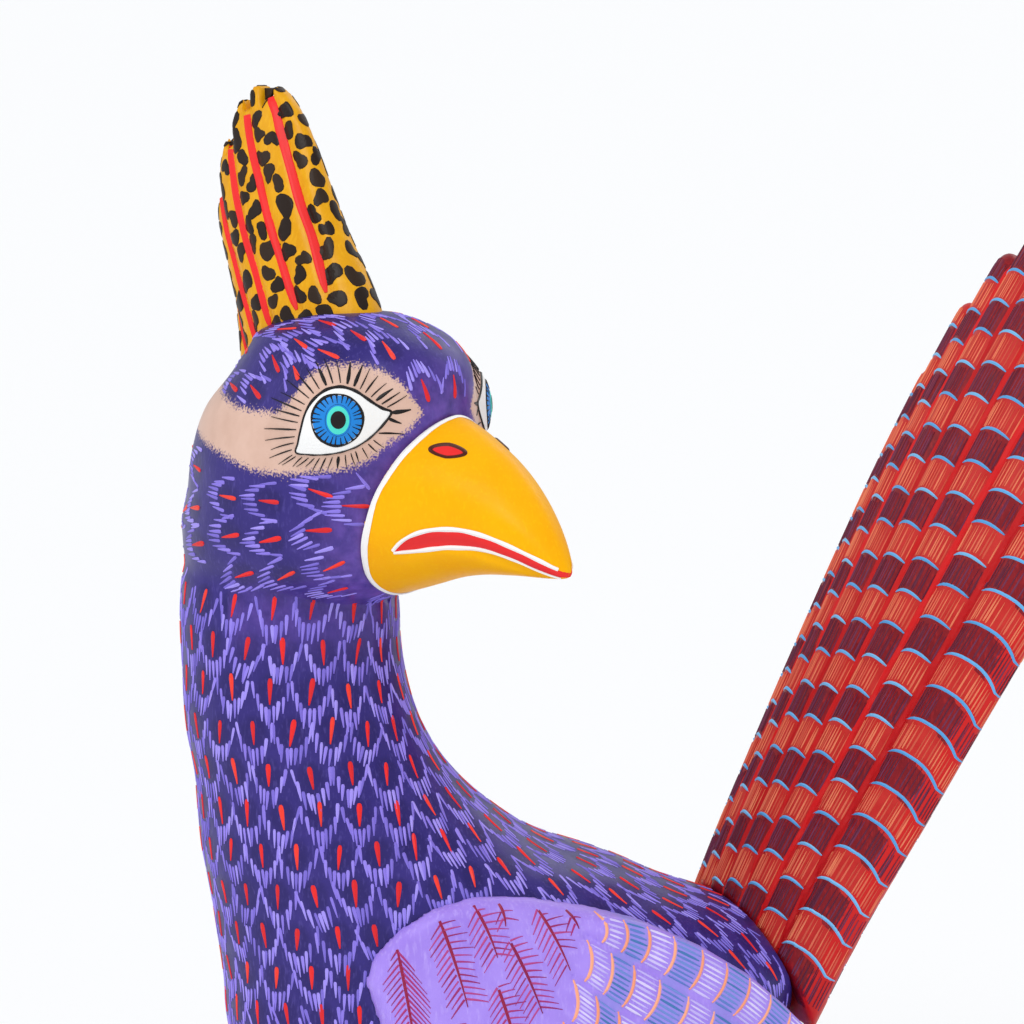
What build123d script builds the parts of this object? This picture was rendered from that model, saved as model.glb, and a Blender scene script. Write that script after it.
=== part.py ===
from build123d import *
import math
import os

# Carved and painted copal-wood bird (alebrije), standing, head turned back over its left side.
# Working frame: +Z up, floor at z = 0, the bird's chest faces -X, its left side is -Y,
# y = 0 is the plane of symmetry of the body, wings, legs and tail.

# ---------------------------------------------------------------- driving dimensions (mm)
origin_x = 41.93           # centre of the footprint box, measured in the working frame
origin_y = -11.67

neck_x = -66.0             # vertical neck axis
neck_radius = 30.0
neck_cut_z = 240.0         # height where head and body blanks meet

head_turn_deg = 62.0       # the head looks this far to the bird's left rear, from the +X direction
head_heading = Vector(math.cos(math.radians(head_turn_deg)), -math.sin(math.radians(head_turn_deg)), 0)
head_right = Vector(head_heading.Y, -head_heading.X, 0)
neck_axis = Vector(neck_x, 0, 0)

beak_seat_top = (60.0, 295.5)      # (forward of neck axis, height) of the beak joint line
beak_seat_bottom = (40.0, 245.0)
beak_tip_forward = 98.5
beak_dowel_radius = 5.0
beak_dowel_length = 30.0

crest_seat_front = (36.0, 321.5)
crest_seat_back = (-19.5, 306.0)
crest_half_thickness = 14.0
crest_dowel_radius = 3.0
crest_dowel_length = 22.0
crest_dowel_spacing = 22.0

tail_root = (62.0, 151.0)          # (x, z) of the tail's upper face where it meets the rump
tail_root_low = (76.0, 118.0)
tail_root_half_width = 40.0
tail_ribs = 9
tail_rib_rise = 1.7                # how far each feather rib stands above its grooves
tail_peg_radius = 8.0
tail_peg_in_tail = 42.0
tail_peg_in_rump = 40.0
tail_peg_clearance = 0.06
tail_peg_angle_deg = 64.0

wing_thickness = 15.0
wing_dowel_radius = 3.0
wing_dowel_length = 18.0

hip = (8.0, 28.0, 88.0)            # centre of the thigh's top, right side
ankle = (14.0, 33.0, 17.0)
hip_dowel_radius = 4.0
hip_dowel_length = 40.0
ankle_dowel_radius = 2.5
ankle_dowel_length = 18.0

foot_height = 17.0
toe_length = 47.0
toe_spread_deg = 27.0
hind_toe_length = 27.0
toe_root_radius = 7.0
toe_end_radius = 5.0


def write(part, name):
    """Label one finished piece, move it to the final origin and save it."""
    placed = part.moved(Location((-origin_x, -origin_y, 0)))
    placed.label = name
    export_step(placed, "parts/" + name + ".step")


def round_bar(plane, radius, start, end):
    """A straight round bar along a plane's normal, between two offsets."""
    with BuildPart() as bar:
        with BuildSketch(plane.offset(start)):
            Circle(radius)
        extrude(amount=end - start)
    return bar.part


def head_point(forward, height, side=0.0):
    """A point in the head's own frame: forward of the neck axis, height, to the head's right."""
    return neck_axis + head_heading * forward + head_right * side + Vector(0, 0, height)


def seat_plane(top, bottom):
    """Plane through two (forward, height) points of the head's middle plane, square to it."""
    rise = (head_point(*top) - head_point(*bottom)).normalized()
    outward = head_right.cross(rise)
    if outward.dot(head_heading) + outward.Z < 0:
        outward = outward * -1
    middle = (head_point(*top) + head_point(*bottom)) * 0.5
    return Plane(origin=middle, x_dir=head_right, z_dir=outward)


os.makedirs("parts", exist_ok=True)

beak_seat = seat_plane(beak_seat_top, beak_seat_bottom)
crest_seat = seat_plane(crest_seat_front, crest_seat_back)

# ---------------------------------------------------------------- trunk: body, neck and head
# Body sections: height, centre x, half length, half width. The back falls away towards the
# rump, which is cut flat where the tail is seated.
body_sections = [
    (neck_cut_z, neck_x, neck_radius, neck_radius),
    (222.0, -65.0, 30.5, 30.5),
    (206.0, -62.0, 32.5, 32.5),
    (193.0, -56.5, 35.5, 35.0),
    (182.0, -50.0, 41.0, 38.5),
    (172.0, -41.5, 48.5, 42.5),
    (164.0, -30.0, 58.5, 46.0),
    (156.0, -20.5, 66.5, 49.5),
    (149.0, -10.5, 75.5, 52.0),
    (140.0, -2.0, 82.5, 54.5),
    (130.0, 3.0, 86.5, 56.5),
    (118.0, 0.5, 82.5, 57.0),
    (105.0, -2.5, 76.5, 56.0),
    (93.0, -3.5, 66.0, 51.0),
    (83.0, -3.0, 51.5, 42.5),
    (75.0, -2.0, 34.0, 29.5),
    (70.0, -1.0, 16.0, 14.0),
    (67.5, -1.0, 4.0, 3.5),
]

# Head sections: height, centre forward of the neck axis, half length, half width.
head_sections = [
    (240.0, 0.0, 30.0, 30.0),
    (247.0, 4.0, 35.0, 32.0),
    (257.0, 10.5, 41.5, 34.5),
    (270.0, 14.5, 44.0, 35.0),
    (283.0, 16.5, 42.5, 34.7),
    (295.0, 19.5, 39.5, 33.0),
    (304.0, 23.5, 35.0, 30.2),
    (311.0, 24.5, 30.5, 27.0),
    (316.5, 23.0, 25.0, 21.5),
    (320.5, 23.5, 13.5, 12.0),
    (322.5, 23.5, 4.0, 4.0),
]

eye_forward = 35.5
eye_side = 22.5
eye_height = 294.0
eye_bulge_radius = 14.5

tail_seat = Plane(
    origin=((tail_root[0] + tail_root_low[0]) / 2, 0, (tail_root[1] + tail_root_low[1]) / 2),
    x_dir=(0, 1, 0),
    z_dir=(tail_root[1] - tail_root_low[1], 0, tail_root_low[0] - tail_root[0]),
)

with BuildPart() as body_blank:
    for height, centre_x, half_length, half_width in body_sections:
        with BuildSketch(Plane(origin=(centre_x, 0, height), x_dir=(1, 0, 0), z_dir=(0, 0, 1))):
            Ellipse(half_length, half_width)
    loft()
    split(bisect_by=tail_seat, keep=Keep.BOTTOM)

with BuildPart() as head_blank:
    for height, forward, half_length, half_width in head_sections:
        with BuildSketch(Plane(origin=head_point(forward, height), x_dir=head_heading, z_dir=(0, 0, 1))):
            Ellipse(half_length, half_width)
    loft()

# Beak sections: forward of the neck axis, centre height, half height, half width.
beak_sections = [
    (36.0, 271.2, 26.8, 26.5),
    (50.0, 273.0, 24.6, 23.5),
    (60.0, 273.5, 21.8, 20.8),
    (70.0, 272.0, 18.3, 17.0),
    (80.0, 269.0, 14.8, 13.2),
    (88.0, 264.8, 10.6, 9.2),
    (94.0, 260.6, 6.6, 5.8),
    (97.5, 257.3, 3.2, 2.8),
    (beak_tip_forward, 255.8, 1.2, 1.2),
]

with BuildPart() as beak:
    for forward, height, half_height, half_width in beak_sections:
        with BuildSketch(Plane(origin=head_point(forward, height), x_dir=head_right, z_dir=head_heading)):
            Ellipse(half_width, half_height)
    loft()
    split(bisect_by=beak_seat, keep=Keep.TOP)
    add(round_bar(beak_seat, beak_dowel_radius, -1, beak_dowel_length * 0.6), mode=Mode.SUBTRACT)
write(beak.part, "beak")

beak_dowel = round_bar(beak_seat, beak_dowel_radius, -beak_dowel_length * 0.4, beak_dowel_length * 0.6)
write(beak_dowel, "beak_dowel")

# ---------------------------------------------------------------- crest
# Crest sections: height, centre forward of the neck axis, half length, half width.
crest_sections = [
    (298.0, 11.0, 25.5, 14.8),
    (312.0, 10.0, 25.0, crest_half_thickness),
    (322.0, 7.2, 24.2, 13.5),
    (332.0, 3.2, 23.0, 12.6),
    (342.0, -1.2, 21.6, 11.6),
    (352.0, -4.2, 20.0, 10.4),
    (362.0, -6.4, 18.0, 8.8),
    (373.0, -8.0, 14.6, 6.6),
    (384.0, -9.0, 11.5, 4.2),
]

# Outline of the fan seen from the side, as (forward, height): up the front edge, over the
# feather tips and the notches between them, and down the back.
crest_edge = [
    (42.0, 296.0), (36.5, 318.0), (29.0, 335.0), (19.5, 352.0), (11.0, 366.0), (3.0, 377.5),
    (-1.0, 381.0), (-4.5, 380.3), (-7.5, 376.5),
    (-10.0, 380.6), (-13.0, 381.3), (-15.5, 378.5), (-17.0, 373.5),
    (-18.2, 376.3), (-19.6, 375.2), (-20.6, 370.0), (-21.0, 363.5),
    (-22.2, 366.5), (-23.4, 363.0), (-23.8, 355.0), (-23.2, 349.0),
    (-24.4, 351.0), (-25.4, 346.0), (-25.0, 335.0), (-24.0, 320.0), (-24.0, 296.0),
]

crest_side = Plane(origin=neck_axis, x_dir=head_heading, z_dir=head_right)

with BuildPart() as crest_outline:
    with BuildSketch(crest_side):
        with BuildLine():
            Polyline(*crest_edge, close=True)
        make_face()
    extrude(amount=crest_half_thickness * 2, both=True)

with BuildPart() as crest:
    for height, forward, half_length, half_width in crest_sections:
        with BuildSketch(Plane(origin=head_point(forward, height), x_dir=head_heading, z_dir=(0, 0, 1))):
            Ellipse(half_length, half_width)
    loft()
    add(crest_outline.part, mode=Mode.INTERSECT)
    split(bisect_by=crest_seat, keep=Keep.TOP)
    for shift in (-crest_dowel_spacing / 2, crest_dowel_spacing / 2):
        seat = Plane(origin=crest_seat.origin + crest_seat.y_dir * shift,
                     x_dir=crest_seat.x_dir, z_dir=crest_seat.z_dir)
        add(round_bar(seat, crest_dowel_radius, -1, crest_dowel_length / 2), mode=Mode.SUBTRACT)
write(crest.part, "crest")

with BuildPart() as crest_dowels:
    for shift in (-crest_dowel_spacing / 2, crest_dowel_spacing / 2):
        seat = Plane(origin=crest_seat.origin + crest_seat.y_dir * shift,
                     x_dir=crest_seat.x_dir, z_dir=crest_seat.z_dir)
        add(round_bar(seat, crest_dowel_radius, -crest_dowel_length / 2, crest_dowel_length / 2))
write(crest_dowels.part, "crest_dowels")

# ---------------------------------------------------------------- tail
# Tail stations: upper-face point (x, z), direction in degrees, half width, arch drop,
# middle thickness, edge thickness.
tail_stations = [
    ((47.7, 119.0), 66.0, 34.0, 14.5, 27.0, 16.5),
    (tail_root, 65.5, 39.0, 17.0, 26.0, 16.0),
    ((88.8, 204.7), 62.5, 49.0, 19.5, 24.5, 15.0),
    ((117.0, 257.6), 61.5, 58.0, 22.0, 21.5, 13.5),
    ((147.1, 309.5), 58.0, 64.0, 24.5, 17.0, 11.0),
    ((177.5, 355.4), 55.0, 66.5, 26.0, 11.0, 8.0),
]
tail_axis = Vector(math.cos(math.radians(tail_peg_angle_deg)), 0, math.sin(math.radians(tail_peg_angle_deg)))
tail_face = Vector(-tail_axis.Z, 0, tail_axis.X)
tail_tip_lengths = [221.0, 207.0, 191.0, 170.0, 147.0]
tail_tip_round = 5.0
tail_outline_half = 67.0


def tail_section(upper, direction, half_width, drop, middle, edge):
    """One arched cross-section of the tail with a rib for every feather."""
    along = math.radians(direction)
    plane = Plane(origin=(upper[0], 0, upper[1]), x_dir=(0, 1, 0), z_dir=(math.cos(along), 0, math.sin(along)))
    sign = 1 if plane.y_dir.Z > 0 else -1

    def arch(fraction, lift=0.0):
        return (fraction * half_width, sign * (lift - drop * fraction * fraction))

    with BuildSketch(plane) as section:
        with BuildLine():
            for rib in range(tail_ribs):
                left = -1 + 2 * rib / tail_ribs
                right = -1 + 2 * (rib + 1) / tail_ribs
                ThreePointArc(arch(left), arch((left + right) / 2, tail_rib_rise), arch(right))
            edge_low = (half_width - 4.0, sign * -(drop + edge))
            ThreePointArc(arch(1), (half_width + 3.0, sign * -(drop + edge * 0.5)), edge_low)
            ThreePointArc(edge_low, (0, sign * -middle), (-edge_low[0], edge_low[1]))
            ThreePointArc((-edge_low[0], edge_low[1]), (-half_width - 3.0, sign * -(drop + edge * 0.5)), arch(-1))
        make_face()
    return section.sketch


tail_peg_plane = Plane(origin=tail_seat.origin, x_dir=(0, 1, 0), z_dir=tail_axis)
tail_flat = Plane(origin=(tail_root[0], 0, tail_root[1]), x_dir=(0, 1, 0), z_dir=tail_face * -1)
tail_up = 1 if tail_flat.y_dir.Z > 0 else -1

with BuildPart() as tail_outline:
    with BuildSketch(tail_flat):
        with BuildLine():
            start = (-tail_outline_half, -60.0 * tail_up)
            last = start
            for rib in range(tail_ribs):
                length = tail_tip_lengths[abs(rib - tail_ribs // 2)]
                left = -tail_outline_half + rib * tail_outline_half * 2 / tail_ribs
                right = left + tail_outline_half * 2 / tail_ribs
                shoulder = (left, (length - tail_tip_round) * tail_up)
                leaving = (right, (length - tail_tip_round) * tail_up)
                Line(last, shoulder)
                ThreePointArc(shoulder, ((left + right) / 2, length * tail_up), leaving)
                last = leaving
            Line(last, (tail_outline_half, -60.0 * tail_up))
            Line((tail_outline_half, -60.0 * tail_up), start)
        make_face()
    extrude(amount=90.0, both=True)

with BuildPart() as tail:
    for station in tail_stations:
        add(tail_section(*station))
    loft()
    add(tail_outline.part, mode=Mode.INTERSECT)
    split(bisect_by=tail_seat, keep=Keep.TOP)
    add(round_bar(tail_peg_plane, tail_peg_radius, -10, tail_peg_in_tail), mode=Mode.SUBTRACT)
write(tail.part, "tail")

tail_peg = round_bar(tail_peg_plane, tail_peg_radius, -tail_peg_in_rump, tail_peg_in_tail)
write(tail_peg, "tail_peg")

# ---------------------------------------------------------------- head, trimmed to its seats
with BuildPart() as head:
    add(head_blank.part)
    for side in (-1, 1):
        with Locations(head_point(eye_forward, eye_height, side * eye_side)):
            Sphere(eye_bulge_radius)
    split(bisect_by=beak_seat, keep=Keep.BOTTOM)
    split(bisect_by=crest_seat, keep=Keep.BOTTOM)

# ---------------------------------------------------------------- wings
# Outline of the part of the wing that lies on the flank, as (x, z), from the shoulder
# along the top edge to the rump and back along the lower edge.
wing_edge = [
    (-59.0, 141.0), (-57.5, 150.0), (-51.0, 158.0), (-42.0, 164.0), (-30.0, 167.0), (-15.0, 166.0),
    (3.0, 161.0), (18.0, 155.5), (33.0, 147.5), (48.0, 137.5), (59.0, 128.0),
    (60.0, 112.0), (50.0, 96.0), (32.0, 89.0), (12.0, 87.0), (-6.0, 90.0), (-22.0, 96.0),
    (-36.0, 104.0), (-47.0, 114.0), (-55.0, 127.0),
]
wing_relief = 5.0

# Folded flight feathers: (x, z) of the middle, distance out, half depth, half thickness.
wing_blade_sections = [
    ((8.0, 121.0), 51.5, 24.0, 7.5),
    ((30.0, 113.5), 52.5, 26.5, 7.0),
    ((52.0, 102.5), 50.5, 25.5, 6.0),
    ((74.0, 88.5), 47.5, 22.0, 5.0),
    ((95.0, 73.0), 44.0, 16.5, 4.2),
    ((110.0, 61.0), 41.5, 10.5, 3.5),
    ((119.0, 53.5), 40.0, 4.5, 2.4),
]
wing_dowel_spots = [(-18.0, 128.0), (26.0, 116.0)]
wing_dowel_outer = 56.0

# The flank surface widened sideways, so that the wing stands proud of the body.
flank_blank = scale(body_blank.part, by=(1, 1 + wing_relief / 55.0, 1), mode=Mode.PRIVATE)

with BuildPart() as wing_blade:
    for index, ((x, z), out, half_depth, half_thick) in enumerate(wing_blade_sections):
        (x0, z0), out0 = wing_blade_sections[max(index - 1, 0)][:2]
        (x1, z1), out1 = wing_blade_sections[min(index + 1, len(wing_blade_sections) - 1)][:2]
        with BuildSketch(Plane(origin=(x, out, z), x_dir=(0, 1, 0), z_dir=(x1 - x0, out1 - out0, z1 - z0))):
            Ellipse(half_thick, half_depth)
    loft()


def wing_dowel_plane(spot):
    """Plane square to the flank at a dowel, facing in towards the body, right side."""
    return Plane(origin=(spot[0], wing_dowel_outer, spot[1]), x_dir=(1, 0, 0), z_dir=(0, -1, 0))


with BuildPart() as right_wing:
    with BuildSketch(Plane.XZ.offset(-80)):
        with BuildLine():
            Polyline(*wing_edge, close=True)
        make_face()
    extrude(amount=62)
    add(flank_blank, mode=Mode.INTERSECT)
    add(wing_blade.part)
    add(body_blank.part, mode=Mode.SUBTRACT)
    for spot in wing_dowel_spots:
        add(round_bar(wing_dowel_plane(spot), wing_dowel_radius, 0, wing_dowel_length), mode=Mode.SUBTRACT)
print("wing pieces", [round(s.volume) for s in right_wing.solids()])
write(right_wing.part, "right_wing")

with BuildPart() as left_wing:
    add(mirror(right_wing.part, about=Plane.XZ, mode=Mode.PRIVATE))
write(left_wing.part, "left_wing")

with BuildPart() as right_wing_dowels:
    for spot in wing_dowel_spots:
        add(round_bar(wing_dowel_plane(spot), wing_dowel_radius, 0, wing_dowel_length))
write(right_wing_dowels.part, "right_wing_dowels")

with BuildPart() as left_wing_dowels:
    add(mirror(right_wing_dowels.part, about=Plane.XZ, mode=Mode.PRIVATE))
write(left_wing_dowels.part, "left_wing_dowels")

# ---------------------------------------------------------------- legs
hip_point = Vector(*hip)
ankle_point = Vector(*ankle)
leg_axis = (hip_point - ankle_point).normalized()
leg_length = (hip_point - ankle_point).length

# Leg sections: share of the way up from the ankle, half length fore and aft, half width.
leg_sections = [
    (0.0, 6.5, 6.0),
    (0.16, 5.8, 5.4),
    (0.36, 7.6, 6.8),
    (0.58, 14.0, 11.5),
    (0.82, 20.0, 15.5),
    (1.10, 22.0, 17.0),
]
hip_dowel_plane = Plane(origin=ankle_point + leg_axis * (leg_length * 0.80), x_dir=(1, 0, 0), z_dir=leg_axis)
ankle_plane = Plane(origin=ankle_point, x_dir=(1, 0, 0), z_dir=leg_axis)

with BuildPart() as right_leg:
    for share, half_length, half_width in leg_sections:
        with BuildSketch(ankle_plane.offset(leg_length * share)):
            Ellipse(half_length, half_width)
    loft()
    add(body_blank.part, mode=Mode.SUBTRACT)
    add(round_bar(hip_dowel_plane, hip_dowel_radius, -hip_dowel_length / 2, hip_dowel_length / 2),
        mode=Mode.SUBTRACT)
    add(round_bar(ankle_plane, ankle_dowel_radius, -1, ankle_dowel_length / 2), mode=Mode.SUBTRACT)
print("leg pieces", [round(s.volume) for s in right_leg.solids()])
write(right_leg.part, "right_leg")

with BuildPart() as left_leg:
    add(mirror(right_leg.part, about=Plane.XZ, mode=Mode.PRIVATE))
write(left_leg.part, "left_leg")

right_hip_dowel = round_bar(hip_dowel_plane, hip_dowel_radius, -hip_dowel_length / 2, hip_dowel_length / 2)
write(right_hip_dowel, "right_hip_dowel")
left_hip_dowel = mirror(right_hip_dowel, about=Plane.XZ, mode=Mode.PRIVATE)
write(left_hip_dowel, "left_hip_dowel")

right_ankle_dowel = round_bar(ankle_plane, ankle_dowel_radius, -ankle_dowel_length / 2, ankle_dowel_length / 2)
write(right_ankle_dowel, "right_ankle_dowel")
left_ankle_dowel = mirror(right_ankle_dowel, about=Plane.XZ, mode=Mode.PRIVATE)
write(left_ankle_dowel, "left_ankle_dowel")

# ---------------------------------------------------------------- feet
foot_centre = ankle_point - leg_axis * (ankle_point.Z / leg_axis.Z)
toes = [
    (180.0 - toe_spread_deg, toe_length * 0.92),
    (180.0, toe_length),
    (180.0 + toe_spread_deg, toe_length * 0.92),
    (0.0, hind_toe_length),
]

with BuildPart() as right_foot:
    with BuildSketch(Plane(origin=foot_centre + Vector(0, 0, -2), x_dir=(1, 0, 0), z_dir=(0, 0, 1))):
        Circle(11)
    with BuildSketch(ankle_plane):
        Circle(7)
    loft()
    for heading, length in toes:
        angle = math.radians(heading)
        along = Vector(math.cos(angle), math.sin(angle), 0)
        root = foot_centre + Vector(0, 0, toe_root_radius - 2.0)
        end = foot_centre + along * (length - toe_end_radius) + Vector(0, 0, toe_end_radius - 1.5)
        with BuildSketch(Plane(origin=root, x_dir=(0, 0, 1), z_dir=along)):
            Circle(toe_root_radius)
        with BuildSketch(Plane(origin=end, x_dir=(0, 0, 1), z_dir=along)):
            Circle(toe_end_radius)
        loft()
        with Locations(end):
            Sphere(toe_end_radius)
    split(bisect_by=Plane.XY, keep=Keep.TOP)
    add(round_bar(ankle_plane, ankle_dowel_radius, -ankle_dowel_length / 2, 1), mode=Mode.SUBTRACT)
write(right_foot.part, "right_foot")

with BuildPart() as left_foot:
    add(mirror(right_foot.part, about=Plane.XZ, mode=Mode.PRIVATE))
write(left_foot.part, "left_foot")

# ---------------------------------------------------------------- trunk with all its sockets
with BuildPart() as trunk:
    add(body_blank.part)
    add(head.part)
    add(round_bar(beak_seat, beak_dowel_radius, -beak_dowel_length * 0.4, 1), mode=Mode.SUBTRACT)
    add(crest_dowels.part, mode=Mode.SUBTRACT)
    add(round_bar(tail_peg_plane, tail_peg_radius + tail_peg_clearance, -tail_peg_in_rump - 1.0, 20),
        mode=Mode.SUBTRACT)
    add(right_wing_dowels.part, mode=Mode.SUBTRACT)
    add(left_wing_dowels.part, mode=Mode.SUBTRACT)
    add(right_hip_dowel, mode=Mode.SUBTRACT)
    add(left_hip_dowel, mode=Mode.SUBTRACT)
print("trunk pieces", [round(s.volume) for s in trunk.solids()])
write(trunk.part, "trunk")
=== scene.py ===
import math

import bpy
import numpy as np
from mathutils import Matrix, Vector


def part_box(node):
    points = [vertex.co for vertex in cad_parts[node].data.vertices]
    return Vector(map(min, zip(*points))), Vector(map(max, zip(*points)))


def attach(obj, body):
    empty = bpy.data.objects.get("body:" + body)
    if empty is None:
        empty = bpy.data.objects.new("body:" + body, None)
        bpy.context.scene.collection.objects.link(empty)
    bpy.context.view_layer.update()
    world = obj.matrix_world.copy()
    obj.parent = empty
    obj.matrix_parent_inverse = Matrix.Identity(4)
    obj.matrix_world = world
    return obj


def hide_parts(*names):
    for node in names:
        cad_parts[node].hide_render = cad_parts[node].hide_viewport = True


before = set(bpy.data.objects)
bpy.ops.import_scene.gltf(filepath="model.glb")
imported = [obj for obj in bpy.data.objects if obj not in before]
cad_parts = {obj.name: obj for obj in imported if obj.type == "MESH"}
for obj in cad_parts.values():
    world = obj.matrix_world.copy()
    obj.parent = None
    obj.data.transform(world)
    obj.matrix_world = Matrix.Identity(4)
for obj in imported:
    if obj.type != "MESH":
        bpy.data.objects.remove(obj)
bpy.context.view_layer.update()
rng = np.random.default_rng(7)

# ------------------------------------------------------------------ frame
# Shapes are worked out in millimetres in the bird's own frame: chest towards -X, left side -Y,
# floor at z = 0, neck axis at x = -66. The tail peg's box fixes that frame in the row frame.
peg_lo, peg_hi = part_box("tail_peg")
PEG_CENTRE = np.array([0.069438, 0.0, 0.135399])     # the peg's middle in the bird's frame, metres
ROW = np.array([(peg_lo[i] + peg_hi[i]) / 2 for i in range(3)]) - PEG_CENTRE


def arr(*v):
    return np.array(v, float)


def unit(v):
    v = np.asarray(v, float)
    return v / np.maximum(np.linalg.norm(v, axis=-1, keepdims=True), 1e-9)


def to_row(points):
    return np.asarray(points, float) / 1000.0 + ROW


# In the head's frame s is forward of the neck axis, q is to the head's right and z is the height.
NECK = arr(-66.0, 0.0, 0.0)
TURN = math.radians(62.0)
HEAD_F = arr(math.cos(TURN), -math.sin(TURN), 0.0)   # the head's forward
HEAD_R = arr(HEAD_F[1], -HEAD_F[0], 0.0)             # the head's right
UP = arr(0.0, 0.0, 1.0)


def facing(v, way):
    """The vector or its opposite, whichever leans towards way."""
    return v if v @ way > 0 else -v


def right_side(p):
    """Points with those of the left side mirrored onto the right."""
    return np.stack([p[..., 0], np.abs(p[..., 1]), p[..., 2]], -1)


def mirror_points(p):
    return p * arr(1, -1, 1)


def head_xyz(s, q, z):
    """Head frame (forward, to the right, height) to the bird's frame."""
    s, q, z = np.broadcast_arrays(np.asarray(s, float), q, z)
    return NECK + s[..., None] * HEAD_F + q[..., None] * HEAD_R + z[..., None] * UP


def head_sqz(p):
    d = p - NECK
    return d @ HEAD_F, d @ HEAD_R, p[..., 2]


# ------------------------------------------------------------------ small maths and the grid
def curve(x, xs, ys):
    """Smooth curve through (xs, ys), flat beyond its ends."""
    xs, ys = np.asarray(xs, float), np.asarray(ys, float)
    slope = np.diff(ys) / np.diff(xs)
    m = np.concatenate([[slope[0]], (slope[:-1] + slope[1:]) / 2, [slope[-1]]])
    flat = np.concatenate([[False], slope[:-1] * slope[1:] <= 0, [False]])
    m[flat] = 0
    x = np.clip(x, xs[0], xs[-1])
    i = np.clip(np.searchsorted(xs, x, side="right") - 1, 0, len(xs) - 2)
    h = xs[i + 1] - xs[i]
    t = (x - xs[i]) / h
    t2, t3 = t * t, t * t * t
    return ((2 * t3 - 3 * t2 + 1) * ys[i] + (t3 - 2 * t2 + t) * h * m[i]
            + (-2 * t3 + 3 * t2) * ys[i + 1] + (t3 - t2) * h * m[i + 1])


def step(x, a, b):
    t = np.clip((x - a) / (b - a), 0, 1)
    return t * t * (3 - 2 * t)


def smin(a, b, k):
    h = np.clip(0.5 + 0.5 * (b - a) / k, 0, 1)
    return b + (a - b) * h - k * h * (1 - h)


def smax(a, b, k):
    return -smin(-a, -b, k)


def ellipsoid(p, c, r):
    d = p - c
    k0 = np.linalg.norm(d / r, axis=-1)
    k1 = np.linalg.norm(d / (r * r), axis=-1)
    return k0 * (k0 - 1) / np.maximum(k1, 1e-6)


def capsule(p, a, b, ra, rb):
    ab = np.asarray(b, float) - a
    t = np.clip(((p - a) @ ab) / (ab @ ab), 0, 1)
    return np.linalg.norm(p - a - t[..., None] * ab, axis=-1) - (ra + (rb - ra) * t)


def line_distance(x, y, line):
    best = np.full(np.shape(x), 1e9)
    for (ax, ay), (bx, by) in zip(line[:-1], line[1:]):
        ex, ey = bx - ax, by - ay
        t = np.clip(((x - ax) * ex + (y - ay) * ey) / (ex * ex + ey * ey), 0, 1)
        best = np.minimum(best, (x - ax - t * ex) ** 2 + (y - ay - t * ey) ** 2)
    return np.sqrt(best)


def on_line(line, t):
    """The place at fraction t of the line's length."""
    x, z = np.array(line).T
    far = np.concatenate([[0], np.cumsum(np.hypot(np.diff(x), np.diff(z)))])
    return curve(t * far[-1], far, x), curve(t * far[-1], far, z)


def line_length(line):
    return float(np.linalg.norm(np.diff(np.array(line), axis=0), axis=1).sum())


def polygon_distance(x, y, poly):
    """Signed distance to a closed polygon, negative inside."""
    inside = np.zeros(x.shape, bool)
    for (ax, ay), (bx, by) in zip(poly, poly[1:] + poly[:1]):
        if ay != by:
            inside ^= ((ay > y) != (by > y)) & (x < (bx - ax) * (y - ay) / (by - ay) + ax)
    return line_distance(x, y, poly + poly[:1]) * np.where(inside, -1, 1)


ON_SURFACE = 0.3     # mm; a point further off than this has missed the shape


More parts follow.
